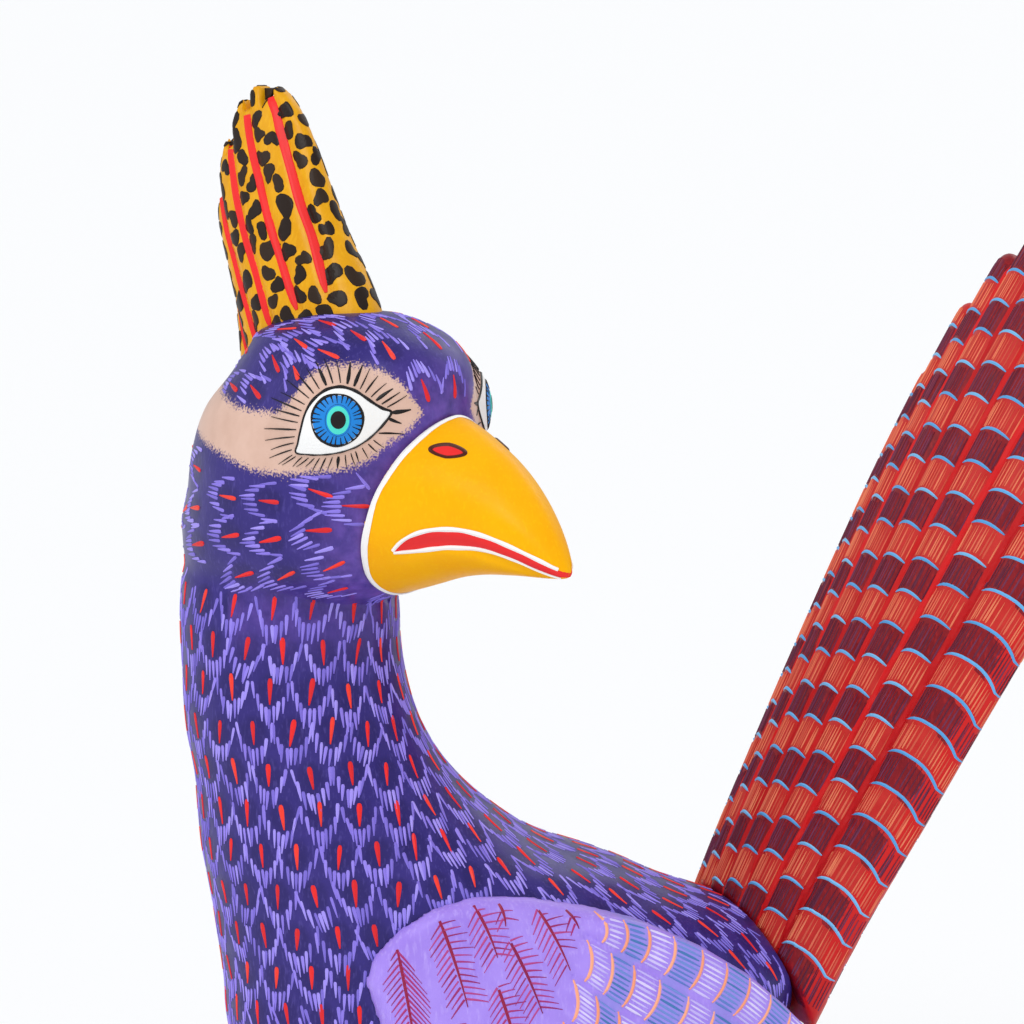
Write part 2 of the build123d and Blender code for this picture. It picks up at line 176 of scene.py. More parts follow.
class Field:
    """A carved shape as signed values on a grid, negative inside; it can be meshed and painted on."""

    def __init__(self, lo, hi, h, f):
        self.lo, self.h = np.asarray(lo, float), h
        n = [int(math.ceil((b - a) / h)) + 1 for a, b in zip(lo, hi)]
        axes = [self.lo[i] + h * np.arange(n[i]) for i in range(3)]
        self.v = np.empty(n, np.float32)
        slab = 24
        for i in range(0, n[0], slab):
            g = np.stack(np.meshgrid(axes[0][i:i + slab], axes[1], axes[2], indexing="ij"), -1)
            self.v[i:i + slab] = f(g)

    def sample(self, p):
        """The signed value at each point, between the grid's eight nearest."""
        q = (p - self.lo) / self.h
        n = np.array(self.v.shape)
        q = np.clip(q, 0, n - 1.001)
        i = q.astype(int)
        t = q - i
        r = 0
        for dx in (0, 1):
            wx = t[..., 0] if dx else 1 - t[..., 0]
            for dy in (0, 1):
                wy = t[..., 1] if dy else 1 - t[..., 1]
                for dz in (0, 1):
                    wz = t[..., 2] if dz else 1 - t[..., 2]
                    r = r + wx * wy * wz * self.v[i[..., 0] + dx, i[..., 1] + dy, i[..., 2] + dz]
        return r

    def grad(self, p):
        e = self.h * 0.8
        return np.stack([(self.sample(p + e * u) - self.sample(p - e * u)) / (2 * e) for u in np.eye(3)], -1)

    def normal(self, p):
        return unit(self.grad(p))

    def touches(self, p):
        return np.abs(self.sample(p)) < ON_SURFACE

    def project(self, p, lift=0.0, rounds=5):
        """The points moved to the surface, then lifted off it."""
        p = np.array(p, float)
        for _ in range(rounds):
            g = self.grad(p)
            d = self.sample(p) / np.maximum((g * g).sum(-1), 0.05)
            p -= np.clip(d, -3, 3)[..., None] * g
        return p + self.normal(p) * lift

    def along(self, start, direction, lift=0.0):
        """First surface points met on the way in from start points outside the shape."""
        start = np.array(start, float)
        direction = unit(direction) * np.ones_like(start)
        t = np.zeros(start.shape[:-1])
        for _ in range(90):
            d = self.sample(start + t[..., None] * direction)
            t = t + np.clip(d * 0.6, -self.h, self.h * 2)
        p = start + t[..., None] * direction
        return self.project(p, lift, 2)

    def mesh(self):
        """Vertices and quads of the zero surface: one vertex in each cell that it passes through."""
        v, h = self.v, self.h
        s = v < 0
        n = np.array(v.shape) - 1
        count = np.zeros(n, np.int8)
        for dx in (0, 1):
            for dy in (0, 1):
                for dz in (0, 1):
                    count += s[dx:n[0] + dx, dy:n[1] + dy, dz:n[2] + dz]
        live = (count > 0) & (count < 8)
        cells = np.argwhere(live)
        index = np.full(n, -1, int)
        index[live] = np.arange(len(cells))
        total, hits = np.zeros((len(cells), 3)), np.zeros(len(cells))
        corner = {}
        for c in np.ndindex(2, 2, 2):
            corner[c] = v[cells[:, 0] + c[0], cells[:, 1] + c[1], cells[:, 2] + c[2]].astype(float)
        for axis in range(3):
            for c in np.ndindex(2, 2, 2):
                if c[axis]:
                    continue
                d = list(c)
                d[axis] = 1
                a, b = corner[c], corner[tuple(d)]
                m = (a < 0) != (b < 0)
                t = np.where(m, a / np.where(m, a - b, 1), 0)
                pos = np.tile(np.array(c, float), (len(cells), 1))
                pos[:, axis] = t
                total[m] += pos[m]
                hits[m] += 1
        verts = self.lo + h * (cells + total / hits[:, None])
        quads = []
        for axis in range(3):
            u, w = (axis + 1) % 3, (axis + 2) % 3
            a = s[tuple(slice(0, -1) if k == axis else slice(None) for k in range(3))]
            b = s[tuple(slice(1, None) if k == axis else slice(None) for k in range(3))]
            edge = np.argwhere(a != b)
            edge = edge[(edge[:, u] > 0) & (edge[:, w] > 0) & (edge[:, u] < n[u]) & (edge[:, w] < n[w])]
            ring = []
            for du, dw in ((0, 0), (-1, 0), (-1, -1), (0, -1)):
                e = edge.copy()
                e[:, u] += du
                e[:, w] += dw
                ring.append(index[e[:, 0], e[:, 1], e[:, 2]])
            q = np.stack(ring, -1)
            out = s[edge[:, 0], edge[:, 1], edge[:, 2]]
            q[~out] = q[~out][:, ::-1]
            quads.append(q)
        quads = np.concatenate(quads)
        quads = quads[(quads >= 0).all(1)]
        for _ in range(2):
            g = self.grad(verts)
            d = self.sample(verts) / np.maximum((g * g).sum(-1), 0.05)
            verts = verts - np.clip(d, -0.4 * h, 0.4 * h)[:, None] * g
        return verts, quads


def add_mesh(name, verts, faces, materials, body="figure", replaces=(), attrs=(), smooth=True, tones=None):
    """A mesh object from bird-frame points in mm; faces all quads (-1 in the last place for a triangle)."""
    verts, faces = np.asarray(verts, float), np.asarray(faces, int)
    me = bpy.data.meshes.new(name)
    tri = faces[:, 3] < 0
    sizes = np.where(tri, 3, 4)
    loops = faces.ravel()[(faces >= 0).ravel()]
    me.vertices.add(len(verts))
    me.vertices.foreach_set("co", to_row(verts).astype(np.float32).ravel())
    me.loops.add(len(loops))
    me.loops.foreach_set("vertex_index", loops.astype(np.int32))
    me.polygons.add(len(faces))
    me.polygons.foreach_set("loop_start", np.concatenate([[0], np.cumsum(sizes)[:-1]]).astype(np.int32))
    me.update(calc_edges=True)
    me.polygons.foreach_set("use_smooth", np.full(len(faces), smooth))
    for m in materials:
        me.materials.append(m)
    if tones is not None:
        me.polygons.foreach_set("material_index", np.asarray(tones, np.int32))
    for key, values in attrs:
        a = me.attributes.new(key, "FLOAT", "POINT")
        a.data.foreach_set("value", np.asarray(values, np.float32))
    me.validate()
    me.update()
    ob = bpy.data.objects.new(name, me)
    bpy.context.scene.collection.objects.link(ob)
    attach(ob, body)
    if replaces:
        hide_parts(*replaces)
    return ob


# ------------------------------------------------------------------ shapes
BODY = [  # height, centre x, half length, half width
    (66.5, -1.0, 3.0, 3.0), (67.5, -1.0, 9.0, 8.0), (70.0, -1.0, 18.0, 16.0), (75.0, -2.0, 34.0, 29.5),
    (83.0, -3.0, 51.5, 42.5), (93.0, -3.5, 66.0, 51.0), (105.0, -2.5, 76.5, 56.0),
    (118.0, 0.5, 82.5, 57.0), (130.0, 3.0, 86.5, 56.5), (140.0, -2.0, 82.5, 54.5),
    (149.0, -10.5, 75.5, 52.0), (156.0, -20.5, 66.5, 49.5), (164.0, -30.0, 58.5, 46.0),
    (172.0, -41.5, 48.5, 42.5), (182.0, -50.0, 41.0, 38.5), (193.0, -56.5, 35.5, 35.0),
    (206.0, -62.0, 32.5, 32.5), (222.0, -65.0, 30.5, 30.5), (240.0, -66.0, 30.0, 30.0),
    (248.0, -66.0, 29.3, 29.3), (255.0, -66.0, 27.0, 27.0), (268.0, -66.0, 20.0, 20.0),
    (277.0, -66.0, 10.0, 10.0), (280.0, -66.0, 3.0, 3.0),
]
HEAD = [  # height, centre forward of the neck axis, half length, half width
    (242.5, 22.0, 4.0, 4.0), (244.5, 20.5, 14.0, 13.0), (248.0, 17.5, 26.0, 23.5), (253.0, 14.0, 35.0, 30.5),
    (260.0, 13.3, 40.5, 33.8), (271.0, 15.5, 42.6, 34.8), (283.0, 17.0, 42.0, 34.7),
    (295.0, 19.5, 39.5, 33.0), (304.0, 23.5, 35.0, 30.2), (311.0, 24.5, 30.5, 27.0),
    (316.5, 23.0, 25.0, 21.5), (320.5, 23.5, 13.5, 12.0), (322.5, 23.5, 3.5, 3.5),
]
BROW, BROW_SIZE = arr(36.0, 22.0, 294.5), arr(13.5, 13.5, 15.5)     # the swelling under each eye's paint
BEAK_TOP, BEAK_BOTTOM = (60.0, 295.5), (40.0, 245.0)
SEAT = unit(arr(BEAK_TOP[1] - BEAK_BOTTOM[1], BEAK_BOTTOM[0] - BEAK_TOP[0]))   # (forward, up) normal


def by_sections(x, y, z, table):
    """A stack of ellipses up z, from (height, centre x, half length, half width) rows."""
    zs, cs, aa, bb = (np.array(c) for c in zip(*table))
    a, b = curve(z, zs, aa), curve(z, zs, bb)
    k = np.sqrt(((x - curve(z, zs, cs)) / a) ** 2 + (y / b) ** 2)
    side = (k - 1) * np.minimum(a, b)
    return np.maximum(side, np.maximum(zs[0] - z, z - zs[-1]) * 0.8)


def past_beak_seat(p):
    """Distance in front of the flat that the beak is glued to."""
    s, _, z = head_sqz(p)
    return (s - BEAK_TOP[0]) * SEAT[0] + (z - BEAK_TOP[1]) * SEAT[1]


RUMP_TOP, RUMP_LOW = arr(62.0, 151.0), arr(76.0, 118.0)     # (x, z) ends of the tail's seat
RUMP_N = unit(arr(RUMP_TOP[1] - RUMP_LOW[1], RUMP_LOW[0] - RUMP_TOP[0]))
PEG_SLOPE = math.radians(64.0)
PEG_DIR = arr(math.cos(PEG_SLOPE), 0.0, math.sin(PEG_SLOPE))
BORE_RADIUS, BORE_DEPTH = 8.06, 41.0
PEG_MID = arr((RUMP_TOP[0] + RUMP_LOW[0]) / 2, 0.0, (RUMP_TOP[1] + RUMP_LOW[1]) / 2)


def past_rump(p):
    """Distance behind the flat that the tail is seated on."""
    return (p[..., 0] - RUMP_TOP[0]) * RUMP_N[0] + (p[..., 2] - RUMP_TOP[1]) * RUMP_N[1]


def body_shape(p):
    return by_sections(p[..., 0], p[..., 1], p[..., 2], BODY)


def trunk_shape(p):
    body = body_shape(p)
    s, q, z = head_sqz(p)
    skull = by_sections(s, q, z, HEAD)
    brow = ellipsoid(np.stack([s, np.abs(q), z], -1), BROW, BROW_SIZE)
    skull = smin(skull, brow, 5.0)
    skull = smax(skull, past_beak_seat(p), 0.8)
    d = smin(body, skull, 11.0)
    d = smax(d, past_rump(p), 1.2)
    along = (p - PEG_MID) @ PEG_DIR
    bore = np.linalg.norm(p - PEG_MID - along[..., None] * PEG_DIR, axis=-1) - BORE_RADIUS
    bore = np.maximum(bore, -along - BORE_DEPTH)
    return np.maximum(d, -bore)


TRUNK = Field((-101, -60, 64), (82, 60, 326), 1.5, trunk_shape)

BEAK = [  # forward, centre height, half height, half width
    (30.0, 270.5, 27.0, 28.0), (40.0, 271.5, 26.0, 26.5), (50.0, 272.6, 24.4, 24.0),
    (60.0, 273.2, 22.0, 21.0),
    (70.0, 271.8, 18.6, 17.3), (80.0, 268.8, 14.9, 13.4), (88.0, 264.8, 10.8, 9.6), (94.0, 260.4, 6.9, 6.2),
    (97.5, 257.2, 3.9, 3.6), (99.3, 255.4, 1.6, 1.6),
]
MOUTH_TOP = [  # (forward, height) of the carved groove's two edges
    (55.0, 259.6), (60.0, 263.6), (66.0, 265.2), (74.0, 264.6), (82.0, 261.6), (90.0, 257.6), (98.0, 254.6)]
MOUTH_LOW = [
    (55.0, 259.0), (62.0, 259.8), (70.0, 260.6), (78.0, 260.0), (86.0, 257.2), (92.0, 255.4), (98.0, 254.0)]


def beak_shape(p):
    s, q, z = head_sqz(p)
    ss, zc, hh, hw = (np.array(c) for c in zip(*BEAK))
    a, b = curve(s, ss, hh), curve(s, ss, hw)
    rise = (z - curve(s, ss, zc)) / a
    k = np.sqrt(rise ** 2 + (np.abs(q) / b) ** (2 - 0.5 * step(rise, 0.0, 0.7)))
    d = (k - 1) * np.minimum(a, b)
    d = np.maximum(d, s - 99.6)
    lips = [((a[0] + b[0]) / 2, (a[1] + b[1]) / 2) for a, b in zip(MOUTH_TOP, MOUTH_LOW)]
    mouth = line_distance(s, z, lips)
    d = d + 0.9 * np.exp(-(mouth / 1.9) ** 2) * step(s, 54, 58)
    return smax(d, -0.4 - past_beak_seat(p), 1.0)


BEAK_F = Field((-80, -100, 238), (-8, -14, 302), 0.9, beak_shape)

CREST = [  # height, centre forward of the neck axis, half length, half width
    (300.0, 11.0, 25.5, 14.4), (312.0, 10.0, 25.0, 13.8), (322.0, 7.2, 24.2, 13.2), (332.0, 3.2, 23.0, 12.4),
    (342.0, -1.2, 21.6, 11.4), (352.0, -4.2, 19.8, 9.8), (362.0, -6.4, 17.8, 7.4), (373.0, -8.0, 14.5, 4.6),
    (383.0, -9.5, 12.0, 2.4),
]
CREST_EDGE = [  # (forward, height) outline with its feather tips
    (44.0, 296.0), (36.0, 320.0), (29.0, 333.0), (21.0, 348.5), (12.5, 363.0), (8.0, 370.4), (4.0, 375.5),
    (0.1, 379.3), (-2.8, 381.3), (-4.6, 381.0), (-6.2, 374.6),
    (-8.0, 381.2), (-10.2, 381.4), (-12.0, 379.6), (-13.2, 372.5),
    (-14.2, 377.7), (-15.4, 377.0), (-17.4, 371.0), (-18.4, 362.0),
    (-19.4, 367.4), (-20.6, 365.0), (-21.5, 358.0), (-22.0, 348.5),
    (-22.9, 351.5), (-23.6, 347.0), (-23.8, 338.0), (-23.6, 322.0), (-24.0, 296.0),
]
CREST_STRIPES = [  # down the valleys between feathers, as (forward, height)
    [(-6.6, 381.2), (-2.4, 376.0), (1.3, 368.8), (6.4, 358.6), (11.0, 349.0), (16.3, 338.8), (21.7, 326.5)],
    [(-13.6, 379.6), (-8.9, 367.6), (-3.0, 356.4), (2.9, 344.2), (8.6, 333.1), (14.2, 321.7)],
    [(-18.9, 369.2), (-13.1, 356.2), (-7.2, 343.4), (-1.0, 330.7), (5.3, 316.4)],
    [(-22.4, 354.6), (-16.8, 344.6), (-11.8, 334.4), (-6.5, 323.2), (-0.6, 311.5)],
    [(-22.0, 340.0), (-18.5, 331.0), (-13.5, 320.0), (-6.9, 308.5)],
]
CREST_SEAT = [(36.0, 321.5), (-19.5, 306.0)]


def over_crest_seat(s, z):
    (s1, z1), (s0, z0) = CREST_SEAT
    return (z - z0) - (s - s0) * (z1 - z0) / (s1 - s0)


def crest_shape(p):
    s, q, z = head_sqz(p)
    zs, cs, aa, bb = (np.array(c) for c in zip(*CREST))
    a, b = curve(z, zs, aa), curve(z, zs, bb)
    k = np.sqrt(((s - curve(z, zs, cs)) / a) ** 2 + (np.abs(q) / b) ** 2)
    d = (k - 1) * np.minimum(a, b) * 1.25
    d = smax(d, polygon_distance(s, z, CREST_EDGE), 1.5)
    for line in CREST_STRIPES:
        d = d + 1.3 * np.exp(-(line_distance(s - 0.9, z, line) / 1.3) ** 2)
    return smax(d, -(over_crest_seat(s, z) + 2.0), 0.8)


CREST_F = Field((-88, -36, 300), (-34, 32, 385), 0.9, crest_shape)

# Tail frame: t along the feathers from the seam, y across, n out of the upper (front) face.
RIBS = 9
TIPS = [221.0, 207.0, 191.0, 170.0, 147.0]     # feather lengths, from the middle one outwards
TAIL_T = np.arange(-60.0, 261.0, 1.0)
LEAN = ([-60, 0, 30, 70, 110, 150, 190, 250], [67, 65.5, 63, 62, 62, 60, 57.5, 54])     # degrees along t
TAIL_ANGLE = np.radians(curve(TAIL_T, *LEAN))


def from_seam(rate):
    """The rate summed along the feathers, zero at the seam."""
    run = np.concatenate([[0], np.cumsum((rate[1:] + rate[:-1]) / 2)])
    return run - np.interp(0, TAIL_T, run)


TAIL_X = from_seam(np.cos(TAIL_ANGLE)) + RUMP_TOP[0]
TAIL_Z = from_seam(np.sin(TAIL_ANGLE)) + RUMP_TOP[1]
# Half width, droop of the edges and thickness along t.
TAIL_W = ([-60, -28, 0, 36, 72, 110, 150, 190, 230], [31, 35, 39, 45, 51, 57, 62, 65, 66.5])
TAIL_DROP = ([-60, 0, 36, 72, 150, 220], [15, 17, 19, 20, 23.5, 26])
TAIL_THICK = ([-60, 0, 72, 150, 200, 235], [27, 26, 24, 20, 15, 11])


def tail_xyz(y, t, n):
    x = np.interp(t, TAIL_T, TAIL_X)
    z = np.interp(t, TAIL_T, TAIL_Z)
    a = np.interp(t, TAIL_T, TAIL_ANGLE)
    return np.stack([x - n * np.sin(a), y + 0 * x, z + n * np.cos(a)], -1)


def tail_phase(f):
    """0 on a rib's middle line, 1 in the groove beside it."""
    return np.abs(((np.clip(f, -1, 1) + 1) / 2 * RIBS) % 1.0 - 0.5) * 2


def tail_top(y, t):
    """Height of the upper face over the tail's middle line."""
    f = np.clip(y / curve(t, *TAIL_W), -1.12, 1.12)
    return -curve(t, *TAIL_DROP) * f * f - 2.5 * tail_phase(f) ** 2.6


def tail_low(y, t):
    f = np.clip(y / curve(t, *TAIL_W), -1.12, 1.12)
    thick = curve(t, *TAIL_THICK)
    return -thick - (curve(t, *TAIL_DROP) - 0.38 * thick) * f * f + 1.3 * tail_phase(f) ** 2.6


def tail_tip(y, t):
    f = np.clip(y / curve(t, *TAIL_W), -0.999, 0.999)
    r = (f + 1) / 2 * RIBS
    k = np.abs(np.floor(r) - RIBS // 2).astype(int)
    length = np.array(TIPS)[k]
    return length - 5.0 * np.abs((r % 1.0 - 0.5) * 2) ** 2.4


def tail_local(g):
    y, t, n = g[..., 0], g[..., 1], g[..., 2]
    d = smax(n - tail_top(y, t), tail_low(y, t) - n, 5.0)
    d = smax(d, np.abs(y) - curve(t, *TAIL_W) - 1.0, 9.0)
    d = smax(d, (t - tail_tip(y, t)) * 0.9, 4.0)
    return smax(d, 0.3 - past_rump(tail_xyz(y, t, n)), 0.8)


TAIL_F = Field((-78, -46, -58), (78, 232, 6), 1.35, tail_local)


WING_EDGE = [  # (x, z) outline seen from the side
    (-59.0, 141.0), (-57.0, 148.5), (-51.0, 155.5), (-42.0, 161.0), (-30.0, 163.6), (-15.0, 162.4),
    (3.0, 158.4), (18.0, 153.8), (33.0, 146.8), (48.0, 137.5), (60.0, 127.5), (72.0, 116.0), (84.0, 103.5),
    (97.0, 88.0), (108.0, 72.0), (116.5, 56.0), (118.0, 51.5), (114.0, 50.5),
    (107.0, 54.0), (108.5, 49.5), (103.0, 50.0), (92.0, 57.0), (92.5, 53.0), (86.0, 54.5), (75.0, 62.5),
    (74.5, 58.5), (68.0, 61.0), (57.0, 69.5), (56.0, 66.0), (50.0, 68.5), (40.0, 76.0), (28.0, 82.0),
    (12.0, 87.0), (-6.0, 90.0), (-22.0, 96.0), (-36.0, 104.0), (-47.0, 114.0), (-55.0, 127.0),
]
FEATHERS = [  # lines between the flight feathers, from the shoulder to the notches of the outline
    [(3.0, 158.4), (18.0, 153.8), (33.0, 146.8), (48.0, 137.5), (60.0, 127.5), (72.0, 116.0), (84.0, 103.5),
     (97.0, 88.0), (108.0, 72.0), (117.5, 53.0)],
    [(-1.0, 152.0), (12.0, 144.5), (26.0, 136.0), (44.5, 124.0), (62.0, 109.5), (80.0, 90.5), (95.0, 71.5),
     (107.5, 53.0)],
    [(-6.0, 142.0), (5.0, 133.5), (22.0, 122.5), (40.0, 109.5), (58.0, 93.5), (76.0, 75.5), (92.0, 56.0)],
    [(-9.5, 131.0), (3.0, 121.5), (20.0, 110.0), (38.0, 96.0), (56.0, 80.5), (75.0, 61.5)],
    [(-13.0, 119.5), (0.0, 110.5), (16.0, 100.5), (32.0, 90.0), (46.0, 79.0), (57.0, 68.5)],
    [(-18.0, 108.5), (-8.0, 102.0), (4.0, 96.0), (16.0, 90.5), (30.0, 83.0), (40.0, 75.5)],
    [(-22.0, 98.0), (-12.0, 92.0), (0.0, 89.0), (12.0, 87.0), (28.0, 81.5)],
]


def wing_shape(p):
    x, y, z = p[..., 0], p[..., 1], p[..., 2]
    a = np.abs(y)
    body = body_shape(right_side(p))
    blade_y = curve(x, [-60, 8, 30, 52, 74, 95, 119], [52, 52.5, 54.0, 51.8, 48.5, 45.0, 41.0])
    half = curve(x, [8, 30, 52, 74, 95, 119], [5.0, 5.0, 4.6, 4.0, 3.4, 2.2])
    shell = np.maximum(body - 4.2, -(a - 20))
    blade = np.abs(a - blade_y) - half
    blade = np.maximum(blade, (4 - x) * 0.5)
    d = smin(shell, blade, 9.0)
    valley = np.min([line_distance(x, z, line) for line in FEATHERS[1:-1]], axis=0)
    d = smax(d + 0.9 * np.exp(-(valley / 0.85) ** 2), polygon_distance(x, z, WING_EDGE), 3.2)
    return np.maximum(d, -(body - 0.05))


WING_LO, WING_HI = (-64, 26, 44), (124, 68, 172)
WING_F = Field(WING_LO, WING_HI, 1.1, wing_shape)

HIP, ANKLE = arr(8.0, 28.0, 88.0), arr(14.0, 33.0, 17.0)
LEG_AXIS = unit(HIP - ANKLE)
LEG_SIDE = unit(np.cross(LEG_AXIS, arr(1, 0, 0)))
LEG_FORE = np.cross(LEG_SIDE, LEG_AXIS)
LEG_LEN = float(np.linalg.norm(HIP - ANKLE))
FOOT = ANKLE - LEG_AXIS * (ANKLE[2] / LEG_AXIS[2])
# Half length and half width up the leg, as fractions of its length.
LEG = ([-0.05, 0.0, 0.16, 0.30, 0.42, 0.58, 0.82, 1.10], [6.2, 6.4, 5.7, 6.2, 9.0, 14.0, 20.0, 22.0],
       [5.7, 5.9, 5.3, 5.7, 8.0, 11.5, 15.5, 17.0])


def leg_shape(p):
    d = p - ANKLE
    h = d @ LEG_AXIS
    a, b = curve(h / LEG_LEN, LEG[0], LEG[1]), curve(h / LEG_LEN, LEG[0], LEG[2])
    k = np.sqrt((d @ LEG_FORE / a) ** 2 + (d @ LEG_SIDE / b) ** 2)
    f = (k - 1) * np.minimum(a, b)
    f = smax(f, -h, 0.8)
    f = np.maximum(f, h - LEG_LEN * 1.08)
    return np.maximum(f, -(body_shape(p) + 1.0))


LEG_F = Field((-18, 8, 12), (34, 50, 92), 0.9, leg_shape)

TOES = [(180 - 27, 43.0), (180, 47.0), (180 + 27, 43.0), (0, 27.0)]     # heading in degrees, length


def heading_dir(heading):
    return arr(math.cos(math.radians(heading)), math.sin(math.radians(heading)), 0)


def foot_shape(p):
    d = capsule(p, FOOT + arr(0, 0, 3.0), ANKLE, 9.0, 6.2)
    for heading, length in TOES:
        u = heading_dir(heading)
        knuckle = FOOT + u * length * 0.52 + arr(0, 0, 5.6)
        end = FOOT + u * (length - 6.0) + arr(0, 0, 3.6)
        toe = capsule(p, FOOT + arr(0, 0, 6.0), knuckle, 6.6, 5.6)
        toe = np.minimum(toe, capsule(p, knuckle, end, 5.8, 4.4))
        toe = smin(toe, ellipsoid(p, knuckle, arr(6.0, 6.0, 5.4)), 2.0)
        tip = FOOT + u * (length + 0.2) + arr(0, 0, 1.4)
        claw = capsule(p, end + u * 1.5 + arr(0, 0, 0.4), tip, 3.2, 1.2)
        d = smin(d, smin(toe, claw, 0.8), 3.0)
    d = smax(d, (p - ANKLE) @ LEG_AXIS, 0.8)
    return smax(d, -p[..., 2], 0.6)


FOOT_F = Field((-36, 8, -2), (48, 60, 20), 0.9, foot_shape)


# ------------------------------------------------------------------ paint
def rgb(r, g, b):
    """sRGB 0-255 to linear."""
    def lin(c):
        c /= 255.0
        return c / 12.92 if c <= 0.04045 else ((c + 0.055) / 1.055) ** 2.4
    return (lin(r), lin(g), lin(b), 1.0)


class Paint:
    """A node material on a Principled shader."""

    def __init__(self, name, colour=(0.8, 0.8, 0.8, 1), rough=0.4, coat=0.04, shine=0.22):
        self.m = bpy.data.materials.new(name)
        self.m.use_nodes = True
        self.tree = self.m.node_tree
        self.shader = self.tree.nodes["Principled BSDF"].inputs
        self.feed(self.shader, {"Base Color": colour, "Roughness": rough, "Specular IOR Level": shine,
                                "Coat Weight": coat, "Coat Roughness": 0.28})
        self.place = None

    def feed(self, inputs, values):
        """Each value linked if it is a socket, and set if it is a number."""
        for key, value in values.items():
            if hasattr(value, "is_linked"):
                self.tree.links.new(value, inputs[key])
            else:
                inputs[key].default_value = value

    def node(self, kind, ins=None, out=0, **props):
        n = self.tree.nodes.new("ShaderNode" + kind)
        for key, value in props.items():
            setattr(n, key, value)
        self.feed(n.inputs, ins or {})
        return n.outputs[out]

    def noise(self, size_mm, detail=3.0, rough=0.55, stretch=None):
        if self.place is None:
            self.place = self.node("TexCoord", out=3)
        v = self.node("Mapping", {0: self.place, 3: stretch}) if stretch else self.place
        return self.node("TexNoise", {"Vector": v, "Scale": 1000.0 / size_mm, "Detail": detail,
                                      "Roughness": rough})

    def math(self, op, a, b=0.0):
        return self.node("Math", {0: a, 1: b}, operation=op)

    def ramp(self, x, lo, hi, a=0.0, b=1.0):
        return self.node("MapRange", {0: x, 1: lo, 2: hi, 3: a, 4: b})

    def mix(self, f, a, b):
        return self.node("Mix", {0: f, 6: a, 7: b}, 2, data_type="RGBA")

    def attr(self, name):
        return self.node("Attribute", out=2, attribute_name=name)

    def finish(self, colour, sheen, least, most, relief, strength=0.2, distance=0.0002):
        """Colour, roughness from least to most, and a fine relief; returns the material."""
        bump = self.node("Bump", {"Strength": strength, "Distance": distance, "Height": relief})
        rough = self.ramp(sheen, 0.3, 0.7, least, most)
        self.feed(self.shader, {"Base Color": colour, "Roughness": rough, "Normal": bump})
        return self.m


def brushed(name, dark, mid, light, rough, coat, size, grain=(1, 1, 0.25), shine=0.2, wash=None):
    """Hand-laid acrylic: cloudy tone, faint brush grain, uneven sheen, and a wash in marked places."""
    p = Paint(name, rough=rough, coat=coat, shine=shine)
    hair = p.noise(0.9, 2.0, stretch=grain)
    tone = p.mix(p.ramp(p.noise(size, 3.0), 0.3, 0.7), dark, mid)
    tone = p.mix(p.ramp(hair, 0.52, 0.78, 0.0, 0.75), tone, light)
    if wash:
        thin = p.math("MULTIPLY", p.attr("wash"), p.ramp(p.noise(3.0), 0.25, 0.75, 0.5, 1.0))
        tone = p.mix(thin, tone, wash)
    return p.finish(tone, p.noise(6.0, 2.0), rough - 0.06, rough + 0.08, hair, 0.22, 0.00025)


def tones(name, *colours, rough=0.42, coat=0.03):
    """Brush-stroke paints: the same colour, more or less thinned."""
    paints = []
    for i, c in enumerate(colours):
        paints.append(Paint("%s_%d" % (name, i), rgb(*c), rough + 0.03 * (i % 2), coat).m)
    return paints


PIECE_FACES = 95000     # about the most faces in one mesh piece


def tube_faces(rows, ring, closed=False):
    """Quads round a tube of rows, each a ring of points."""
    faces = []
    for j in range(rows if closed else rows - 1):
        a, b = ring * j, ring * ((j + 1) % rows)
        for i in range(ring):
            i2 = (i + 1) % ring
            faces.append((a + i, a + i2, b + i2, b + i))
    return faces


